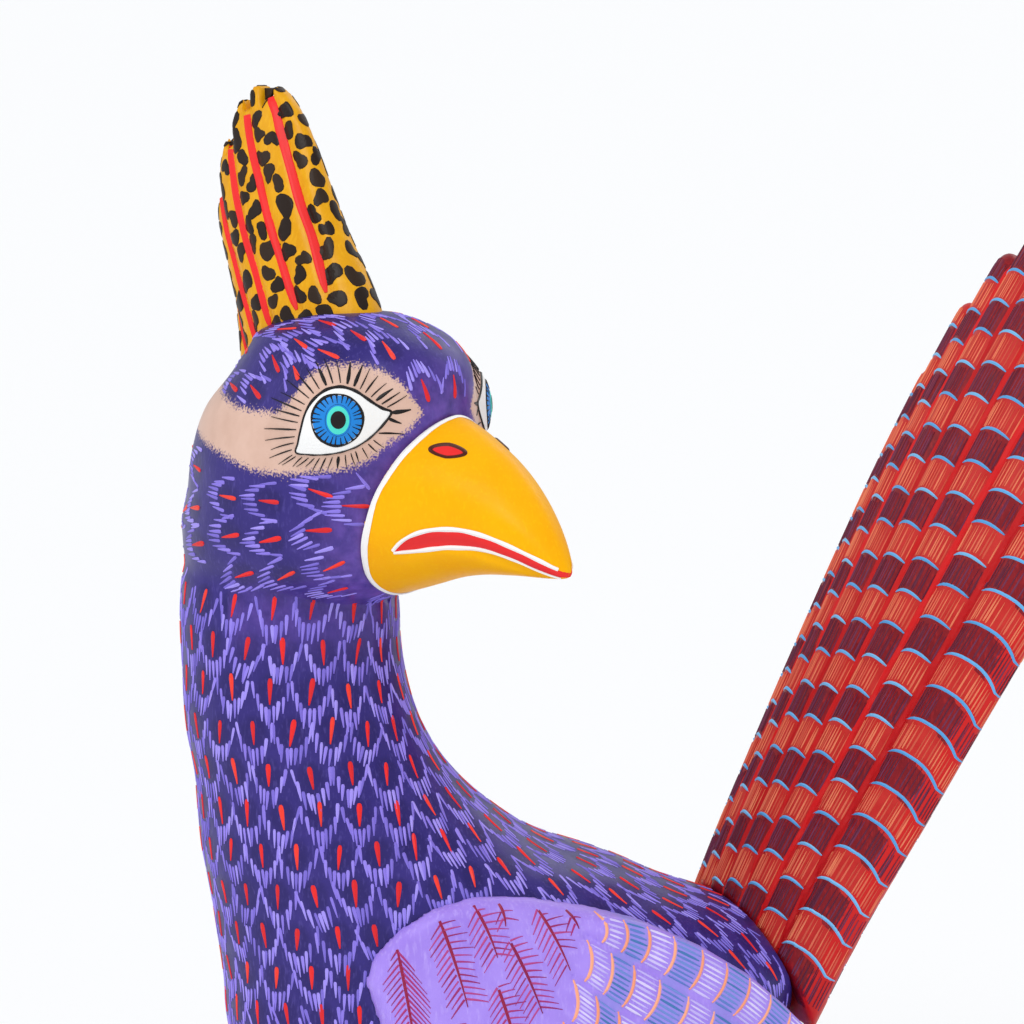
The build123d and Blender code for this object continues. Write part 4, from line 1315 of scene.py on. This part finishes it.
def band_jobs(row, b, start, end):
    """A peach line across a flight feather, then a band of fine lines along it."""
    v = np.linspace(0.07, 0.93, 8)
    x, z = in_row(row, np.full(8, start), v)
    if (polygon_distance(x, z, WING_EDGE)[2:] > -2.0).any():
        return []
    width = 0.95 * arr(0.6, 0.9, 1, 1, 1, 1, 0.9, 0.6)
    jobs = [("peach", x, z, width, int(rng.integers(0, 2)))]
    x, z = in_row(row, arr(start, start), arr(0.0, 1.0))
    lines = max(4, int(math.hypot(x[1] - x[0], z[1] - z[0]) / 1.35))
    kind = "lilac" if b % 2 == 0 else "teal"
    for i in range(lines):
        v = (i + 0.5) / lines * 0.88 + 0.06
        mm = np.linspace(start + rng.uniform(0.5, 1.0), end - rng.uniform(0.5, 1.7), 4)
        x, z = in_row(row, mm, np.full(4, v))
        jobs.append((kind, x, z, rng.uniform(0.5, 0.78) * arr(0.7, 1.0, 0.9, 0.4), int(rng.integers(0, 3))))
    return jobs


def barb_way(first, way, f):
    """Direction of a barb at fraction f of its stem, to the front (-1) or the rear (1)."""
    if way < 0:
        return unit(arr(-0.62, -0.80))
    return unit(arr(0.66, -0.75)) if first else unit(arr(1.0, 0.42 - 0.5 * min(1, f * 1.6)))


def stem_jobs(first, top, low):
    """One shoulder feather: a maroon stem with barbs on both sides; the first has the longest barbs."""
    size = np.linalg.norm(low - top)
    t = np.linspace(0.05, 1, 8)
    line = top + (low - top) * t[:, None] + arr(0.9, 0.2) * (t * (1 - t) * 2)[:, None]
    width = 0.9 * arr(0.9, 1, 1, 0.9, 0.75, 0.6, 0.45, 0.3)
    jobs = [("maroon", line[:, 0], line[:, 1], width, int(rng.integers(0, 2)))]
    full = 6.2 * min(1.0, 0.4 + size / 22)
    u = np.linspace(0.05, 1, 4)
    for f in np.arange(0.4, size - 0.8, 1.75) / size:
        at = top + (low - top) * f
        for way, longest in ((-1, 9.8), (1, 10.4)):
            d, reach = barb_way(first, way, f), longest if first else full
            reach *= rng.uniform(0.8, 1.08) * (0.6 + 0.4 * min(1, f * 5))
            while reach > 3 and polygon_distance(*(at + d * reach)[:, None], WING_EDGE)[0] > -2.4:
                reach -= 1.0
            q = at + d * reach * u[:, None] - arr(0, 0.5) * (u * u)[:, None]
            width = rng.uniform(0.42, 0.66) * arr(1.0, 0.9, 0.65, 0.35)
            jobs.append(("barb", q[:, 0], q[:, 1], width, int(rng.integers(2, 5))))
    return jobs


def wing_jobs():
    """Every stroke on a wing as (kind, x, z, widths, tone)."""
    jobs = []
    for row in range(len(FEATHERS) - 1):
        length, bands = line_length(FEATHERS[row]), row_bands(row)
        for b, start in enumerate(bands[:-1]):
            if start > length - 3:
                break
            jobs += band_jobs(row, b, start, bands[b + 1])
    for i, (top, low) in enumerate(STEMS):
        jobs += stem_jobs(i == 0, arr(*top), arr(*low))
    return jobs


def inside_wing(kind, x, z):
    """Whether a stroke stays on its part of the wing."""
    free = polygon_distance(x, z, WING_EDGE) < (-1.8 if kind == "barb" else -0.9)
    if kind == "barb":
        free &= x < curve(z, *SHOULDER_END) - 0.6
    if kind in ("peach", "maroon"):
        free = free[1:-1]
    return free.all()


def wing_paint():
    groups = {}
    for kind, x, z, width, tone in wing_jobs():
        if inside_wing(kind, x, z):
            groups.setdefault(kind, []).append((x, z, width, tone))
    for kind, paints in (("lilac", PALE_TONES), ("teal", TEAL_TONES), ("peach", PEACH_TONES),
                         ("maroon", MAROON_TONES), ("barb", MAROON_TONES)):
        x, z, width, tone = (np.array(v) for v in zip(*groups[kind]))
        p = WING_F.along(np.stack([x, np.full(x.shape, 66.5), z], -1), arr(0, -1, 0), 0.04)
        met = WING_F.touches(p).all(1)
        brush = Brush()
        height = 0.24 if kind in ("peach", "maroon") else 0.16
        brush.strokes(p[met], width[met], WING_F.normal(p[met]), height, tone[met])
        brush.emit("right_wing_%s" % kind, paints, "lavender_paint")
        brush.warp = mirror_points
        brush.emit("left_wing_%s" % kind, paints, "lavender_paint")


def wing_wash(verts):
    """1 where a wing's vertex lies in a blue band."""
    near, blue = [], []
    for row in range(len(FEATHERS) - 1):
        bands = row_bands(row)
        mm = np.arange(1.0, line_length(FEATHERS[row]) - 1, 1.5)
        for v in np.arange(0.06, 0.95, 0.11):
            x, z = in_row(row, mm, np.full(len(mm), v))
            near.append(np.stack([x, z], 1))
            blue.append((np.searchsorted(bands, mm, side="right") % 2 == 0).astype(float))
    near, blue = np.concatenate(near), np.concatenate(blue)
    out = np.zeros(len(verts))
    for i in range(0, len(verts), 2000):
        some = verts[i:i + 2000, None]
        d = (some[..., 0] - near[:, 0]) ** 2 + (some[..., 2] - near[:, 1]) ** 2
        j = d.argmin(1)
        out[i:i + 2000] = blue[j] * (d[np.arange(len(j)), j] < 4.0)
    return out


# -------- tail paint
BAND = 10.4         # length of one band along a rib
BOW = 1.9           # how far a band's line bows along the middle of the rib
LEAD = 70.0         # how far before the seam the bands are counted from
MOST_BANDS = 36
RIB_SHIFT = rng.uniform(0, BAND * 2, RIBS) * 0.25 + np.arange(RIBS) * 3.1


def band_start(rib, b):
    """Where band b of a rib starts, as t."""
    return (b + 3) * BAND - RIB_SHIFT[rib] - LEAD


def band_value(y, t, below):
    """Place along the rib in pairs of bands; below is the depth under the upper face's edge."""
    f = np.clip(y / curve(t, *TAIL_W), -0.999, 0.999)
    rib = np.floor((f + 1) / 2 * RIBS).astype(int)
    outer = (rib == 0) | (rib == RIBS - 1)
    u = np.where(outer & (below > 0) & (below < 13), np.minimum(1 + below / 11.0, 1.7), tail_phase(f))
    return (t - BOW * (1 - u * u) + RIB_SHIFT[rib] + LEAD) / (2 * BAND)


def warp_tail(v):
    return tail_xyz(*v.T)


def seat_gap(p):
    return past_rump(tail_xyz(p[..., 0], p[..., 1], p[..., 2]))


def tail_grooves(brush, under):
    """A wide bright stroke down each groove between two ribs."""
    for g in range(1, RIBS):
        end = TIPS[max(abs(g - RIBS // 2), abs(g - 1 - RIBS // 2))] - 5.0
        t = np.linspace(-30, end, 90)
        y = (-1 + 2 * g / RIBS) * curve(t, *TAIL_W)
        p = TAIL_F.project(np.stack([y, t, (tail_low if under else tail_top)(y, t)], -1), 0.0, 6)
        p = p[seat_gap(p) > 1.2]
        i = np.arange(len(p))
        width = (3.7 + 0.3 * np.sin(i * 0.7 + g)) * np.interp(i, [0, 6], [0.5, 1])
        brush.ribbon(TAIL_F, p, width, 0.22, g % 3)


class RibFace:
    """One face of a rib; u runs across it from -1 to 1, and goes on round an outer rim to 2.1."""

    def __init__(self, rib, under):
        outer = rib in (0, RIBS - 1)
        self.rib, self.under, self.rim = rib, under, outer and not under
        self.way = -1 if rib == 0 else 1
        self.tip = TIPS[abs(rib - RIBS // 2)]
        far = 2.1 if self.rim else 0.4 if outer else 0.84
        self.lo, self.hi = (-0.82, far) if self.way > 0 else (-far, 0.82)

    def surface(self, u, t):
        """Points and normals at u across the rib and t along it."""
        u, t = np.broadcast_arrays(u, t)
        y = (-1 + (2 * self.rib + 1) / RIBS + u / RIBS) * curve(t, *TAIL_W)
        n = tail_low(y, t) if self.under else tail_top(y, t)
        p = TAIL_F.project(np.stack([y, t, n], -1), 0.0, 6)
        if self.rim:
            u = u * self.way
            turn = np.radians(np.interp(u, [0.1, 2.1], [84.0, -38.0]))
            ray = np.stack([self.way * np.cos(turn), 0 * turn, np.sin(turn)], -1)
            side, low = self.way * (curve(t, *TAIL_W) - 7.0), -curve(t, *TAIL_DROP) - 7.0
            round_rim = TAIL_F.along(np.stack([side, t, low], -1) + 24.0 * ray, -ray)
            p = np.where((u > 0.1)[..., None], round_rim, p)
        return p, TAIL_F.normal(p)

    def band_line(self, brush, t0):
        """The blue line across the rib where a band starts."""
        u = np.linspace(self.lo, self.hi, 14 if self.rim else 9)
        p, n = self.surface(u, t0 + BOW * (1 - np.minimum(np.abs(u), 1.7) ** 2) + rng.normal(0, 0.15))
        p = p + n * 0.05
        clear = (seat_gap(p) > 0.8) & TAIL_F.touches(p)
        p, n = p[clear], n[clear]
        if len(p) > 3 and t0 + BOW < self.tip - 5:
            at = np.linspace(0, 1, len(p))
            taper = np.interp(at, [0, 0.12, 0.3, 0.7, 0.88, 1], [0.4, 0.8, 1, 1, 0.8, 0.4])
            brush.strokes(p[None], 0.95 * taper[None], n[None], 0.26, int(rng.integers(0, 3)))

    def band_hairs(self, brush, t0):
        """Fine strokes along the rib that fill one band."""
        count = 21 if self.rim else 11
        u = np.linspace(self.lo + 0.03, self.hi - 0.03, count) + rng.normal(0, 0.03, count)
        bow = BOW * (1 - np.minimum(np.abs(u), 1.7) ** 2)
        l0 = t0 + bow + rng.uniform(0.5, 1.2, count)
        l1 = t0 + BAND + bow - rng.uniform(0.5, 2.0, count)
        l1 = np.minimum(l1, self.tip - 3.0 - 5.0 * np.minimum(u * u, 1))
        look = self.surface(u[:, None], l0[:, None] + (l1 - l0)[:, None] * np.linspace(0, 1, 9))[0]
        l0 = l0 + (l1 - l0) * np.minimum(1.0, 1.12 * (seat_gap(look) < 0.6).mean(1))
        p, n = self.surface(u[:, None], l0[:, None] + (l1 - l0)[:, None] * arr(0, 0.15, 0.6, 1.0))
        p = p + n * 0.03
        ok = (seat_gap(p) > 0.4).all(1) & (l1 - l0 > 1.6) & TAIL_F.touches(p).all(1)
        if ok.any():
            wide = rng.uniform(0.36, 0.62, count)[:, None] * arr(0.6, 1, 0.9, 0.35)
            brush.strokes(p[ok], wide[ok], n[ok], 0.15, rng.integers(0, 3, count)[ok])


def tail_paint():
    brush = {k: Brush(warp_tail) for k in ("groove", "line", "warm", "cool")}
    for under in (False, True):
        tail_grooves(brush["groove"], under)
        for rib in range(RIBS):
            face = RibFace(rib, under)
            for b in range(MOST_BANDS):
                t0 = band_start(rib, b)
                if -45 <= t0 <= face.tip - 7:
                    face.band_line(brush["line"], t0)
                    face.band_hairs(brush["warm" if b % 2 else "cool"], t0)
    for key, paints in (("groove", GROOVE_TONES), ("line", SKY_TONES), ("warm", WARM_TONES),
                        ("cool", COOL_TONES)):
        brush[key].emit("tail_%s_strokes" % key, paints, "red_paint", "tail")


# -------- paints
LILAC_TONES = tones("lilac_stroke", (152, 134, 236), (140, 122, 226), (164, 148, 242), (126, 110, 212))
RED_TONES = tones("red_stroke", (238, 42, 42), (222, 38, 44), (246, 62, 48))
WHITE_TONES = tones("white_line", (248, 246, 243))
BROWN_TONES = tones("brown_line", (78, 30, 18))
EYE_WHITE = tones("eye_white", (246, 246, 245), rough=0.5)
EYE_BLUE = tones("eye_blue", (28, 132, 218))
EYE_AQUA = tones("eye_aqua", (78, 222, 205))
EYE_BLACK = tones("eye_black", (24, 20, 22))
BLOT_TONES = tones("crest_blot", (34, 20, 12), (46, 30, 18))
PALE_TONES = tones("pale_lilac", (210, 198, 248), (198, 184, 245), (222, 212, 250))
TEAL_TONES = tones("teal_line", (98, 130, 204), (74, 124, 184), (116, 144, 216))
PEACH_TONES = tones("peach_line", (252, 172, 138), (246, 158, 124))
MAROON_TONES = tones("maroon_line", (150, 34, 72), (140, 30, 76), (172, 54, 122), (158, 46, 110),
                     (184, 70, 138))
GROOVE_TONES = tones("groove_red", (202, 16, 20), (190, 12, 18), (212, 20, 24))
SKY_TONES = tones("sky_line", (104, 180, 236), (90, 168, 228), (122, 192, 240))
WARM_TONES = tones("salmon_line", (224, 110, 82), (210, 88, 66), (232, 128, 92))
COOL_TONES = tones("slate_line", (102, 34, 60), (92, 30, 56), (112, 48, 80))


# -------- the pieces that take the place of CAD nodes
def piece(node, verts, faces, material, slot, body="figure", attrs=()):
    ob = add_mesh("painted_" + node, verts, faces, [material], body, replaces=[node], attrs=attrs)


def both_sides(part, verts, faces, material, slot, attrs=()):
    """The right piece as carved, and its mirror image on the left."""
    piece("right_" + part, verts, faces, material, slot, attrs=attrs)
    piece("left_" + part, mirror_points(verts), faces[:, ::-1], material, slot, attrs=attrs)


def trunk_masks(verts):
    """Vertex values: the dark inside of each scale, the lilac haze by the beak, and the bare band."""
    near = np.full(len(verts), 99.0)
    for i in range(0, len(verts), 4000):
        d = verts[i:i + 4000, None] - SPOTS[None]
        along, across, away = ((d * axis[None]).sum(-1) for axis in (SPOT_F, SPOT_S, SPOT_N))
        near[i:i + 4000] = np.sqrt((along / 4.8) ** 2 + (across / 4.0) ** 2 + (away / 6.0) ** 2).min(1)
    deep = 1 - step(near, 0.75, 1.15)
    s, _, z = head_sqz(verts)
    to_beak = np.abs(past_beak_seat(verts)) + np.maximum(246 - z, 0) * 2
    haze = np.exp(-(to_beak / 9.0) ** 2) * 0.9 + 0.5 * np.exp(-(((z - 240) / 9.0) ** 2)) * (s > 5)
    return [("deep", deep), ("haze", np.clip(haze, 0, 1)), ("skin", skin_depth(verts))]


def indigo_paint():
    """Cloudy indigo with darker scales and a lilac haze, and the bare band sponged over it."""
    p = Paint("indigo_plumage", rough=0.34, coat=0.10)
    base = p.mix(p.ramp(p.noise(13.0, 4.0), 0.3, 0.7), rgb(44, 34, 113), rgb(56, 44, 127))
    deep = p.math("MULTIPLY", p.attr("deep"), p.ramp(p.noise(5.0), 0.25, 0.75, 0.55, 1.0))
    base = p.mix(deep, base, rgb(37, 27, 98))
    haze = p.math("MULTIPLY", p.attr("haze"), p.ramp(p.noise(4.0), 0.3, 0.7, 0.3, 1.0))
    base = p.mix(haze, base, rgb(112, 82, 178))
    hair = p.noise(0.8, 2.0, stretch=(1, 1, 0.3))
    base = p.mix(p.ramp(hair, 0.55, 0.8, 0.0, 0.35), base, rgb(104, 92, 180))
    flesh = p.mix(p.ramp(p.noise(7.0), 0.3, 0.7), rgb(213, 176, 158), rgb(223, 187, 170))
    sponge = p.math("MULTIPLY", p.math("SUBTRACT", p.noise(0.6, 1.0), 0.5), 6.0)
    edge = p.ramp(p.math("ADD", p.attr("skin"), sponge), -0.8, 0.8)
    return p.finish(p.mix(edge, base, flesh), p.noise(7.0, 2.0), 0.30, 0.44, hair)


def tail_red():
    """Bands of two reds along each rib, and bright red in the grooves and on the rim."""
    p = Paint("tail_red", rough=0.38, coat=0.06)
    dark_band = p.math("GREATER_THAN", p.math("FRACT", p.attr("band")), 0.5)
    cloud = p.ramp(p.noise(6.0, 3.0), 0.3, 0.7)
    warm = p.mix(cloud, rgb(188, 30, 28), rgb(202, 46, 40))
    cool = p.mix(cloud, rgb(118, 10, 24), rgb(138, 14, 28))
    streak = p.noise(0.8, 2.0, stretch=(1, 1, 0.25))
    tone = p.mix(dark_band, warm, cool)
    tone = p.mix(p.ramp(streak, 0.5, 0.8, 0.0, 0.45), tone, rgb(206, 40, 38))
    rim = p.ramp(p.math("ADD", p.attr("groove"), p.math("MULTIPLY", p.noise(1.6), 0.3)), 0.98, 1.05)
    return p.finish(p.mix(rim, tone, rgb(206, 24, 24)), p.noise(6.0, 2.0), 0.32, 0.44, streak)


def leg_paint():
    """Purple thigh over a yellow shank."""
    p = Paint("leg_paint", rough=0.38, coat=0.06)
    cloud = p.ramp(p.noise(8.0, 3.0), 0.3, 0.7)
    purple = p.mix(cloud, rgb(62, 50, 134), rgb(86, 70, 156))
    shank = p.mix(cloud, rgb(250, 168, 0), rgb(255, 186, 10))
    edge = p.ramp(p.math("ADD", p.attr("up"), p.math("MULTIPLY", p.noise(1.6), 2.0)), 0.9, 1.1)
    grain = p.noise(0.8, 2.0, stretch=(1, 1, 0.3))
    return p.finish(p.mix(edge, shank, purple), p.noise(6.0, 2.0), 0.32, 0.44, grain)


def bare_wood():
    """Copal dowels: long pale grain, matte."""
    p = Paint("copal_wood", rough=0.7, coat=0.0, shine=0.3)
    grain = p.noise(1.4, 4.0, 0.6, stretch=(1.0, 1.0, 0.12))
    ring = p.noise(5.0, 2.0, 0.5, stretch=(1.0, 1.0, 0.2))
    tone = p.mix(p.ramp(ring, 0.35, 0.65), rgb(222, 190, 146), rgb(236, 210, 170))
    tone = p.mix(p.ramp(grain, 0.5, 0.72, 0.0, 0.6), tone, rgb(182, 140, 96))
    return p.finish(tone, grain, 0.62, 0.8, grain, 0.35)


def trunk():
    piece("trunk", TRUNK_V, TRUNK_Q, indigo_paint(), "indigo_paint", attrs=trunk_masks(TRUNK_V))
    paint_plumage()
    eye(1, "right")
    eye(-1, "left")


def beak(yellow):
    piece("beak", *BEAK_F.mesh(), yellow, "yellow_paint")
    beak_paint()


def crest():
    gold = brushed("crest_yellow", rgb(222, 154, 4), rgb(234, 168, 6), rgb(240, 180, 26), 0.38, 0.06, 10.0)
    piece("crest", *CREST_F.mesh(), gold, "crest_paint")
    crest_stripes()
    crest_blots()


def wings():
    lavender = brushed("wing_lavender", rgb(160, 130, 232), rgb(172, 144, 242), rgb(188, 164, 247),
                       0.40, 0.05, 12.0, wash=rgb(148, 142, 230))
    v, f = WING_F.mesh()
    both_sides("wing", v, f, lavender, "lavender_paint", [("wash", wing_wash(v))])
    wing_paint()


def tail():
    v, f = TAIL_F.mesh()
    y, t, n = v.T
    across = y / curve(t, *TAIL_W)
    below = (-curve(t, *TAIL_DROP) - n) * (np.abs(across) > 0.86)
    flank = step(below, 11.4, 12.6) * step(np.abs(TAIL_F.normal(v)[:, 0]), 0.5, 0.7) * 1.1
    attrs = [("band", band_value(y, t, below)), ("groove", np.maximum(tail_phase(across), flank))]
    piece("tail", warp_tail(v), f[:, ::-1], tail_red(), "red_paint", "tail", attrs)
    tail_paint()


def legs_and_feet(yellow):
    v, f = LEG_F.mesh()
    both_sides("leg", v, f, leg_paint(), "indigo_paint", [("up", (v[:, 2] - 50.0) / 3.0)])
    both_sides("foot", *FOOT_F.mesh(), yellow, "yellow_paint")
    paint_thighs()
    paint_toes()


def dowels():
    wood = bare_wood()
    for name in ("beak_dowel", "crest_dowels", "left_wing_dowels", "right_wing_dowels", "left_hip_dowel",
                 "right_hip_dowel", "left_ankle_dowel", "right_ankle_dowel", "tail_peg"):
        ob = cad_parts[name]
        ob.data.materials.clear()
        ob.data.materials.append(wood)


# ------------------------------------------------------------------ stage, light, camera
def floor_and_world():
    me = bpy.data.meshes.new("floor")
    r = 300.0
    me.from_pydata([(-r, -r, 0), (r, -r, 0), (r, r, 0), (-r, r, 0)], [], [(0, 1, 2, 3)])
    floor = bpy.data.objects.new("floor", me)
    bpy.context.scene.collection.objects.link(floor)
    me.materials.append(Paint("floor_white", (0.97, 0.97, 0.975, 1), 0.9, 0.0).m)
    world = bpy.data.worlds.new("studio")
    bpy.context.scene.world = world
    world.use_nodes = True
    bg = world.node_tree.nodes["Background"]
    bg.inputs[0].default_value = (0.96, 0.98, 1.0, 1)
    bg.inputs[1].default_value = 0.60


def aim(name, data, direction):
    """An object of the given light or camera that looks along the direction."""
    ob = bpy.data.objects.new(name, data)
    bpy.context.scene.collection.objects.link(ob)
    ob.rotation_mode = "QUATERNION"
    ob.rotation_quaternion = Vector(direction).to_track_quat("-Z", "Y")
    return ob


def sun(name, direction, strength, angle):
    light = bpy.data.lights.new(name, "SUN")
    light.energy, light.angle = strength, math.radians(angle)
    aim(name, light, direction)


def photo_camera():
    """The photo's view, low and from the bird's left."""
    az, el, dist = math.radians(-22.0), math.radians(6.5), 1300.0
    back = arr(math.sin(az) * math.cos(el), -math.cos(az) * math.cos(el), math.sin(el))
    cam = bpy.data.cameras.new("photo_camera")
    cam.lens, cam.sensor_width = 163.2, 36.0
    cam.clip_start, cam.clip_end = 0.05, 1000.0
    ob = aim("photo_camera", cam, -back)
    ob.location = Vector(to_row(arr(0.0, 0.0, 262.0) + back * dist))
    bpy.context.scene.camera = ob
    bpy.context.scene.view_settings.view_transform = "Standard"


trunk()
beak_yellow = brushed("beak_yellow", rgb(252, 174, 0), rgb(253, 182, 0), rgb(255, 190, 4), 0.40, 0.02, 14.0,
                      (1, 1, 0.5), 0.1)
beak(beak_yellow)
crest()
wings()
tail()
legs_and_feet(beak_yellow)
dowels()
floor_and_world()
sun("key", (0.35, 0.75, -0.80), 1.20, 28)
sun("side", (0.9, -0.1, -0.55), 0.45, 40)
sun("rear", (-0.8, -0.5, -0.7), 0.5, 40)
photo_camera()
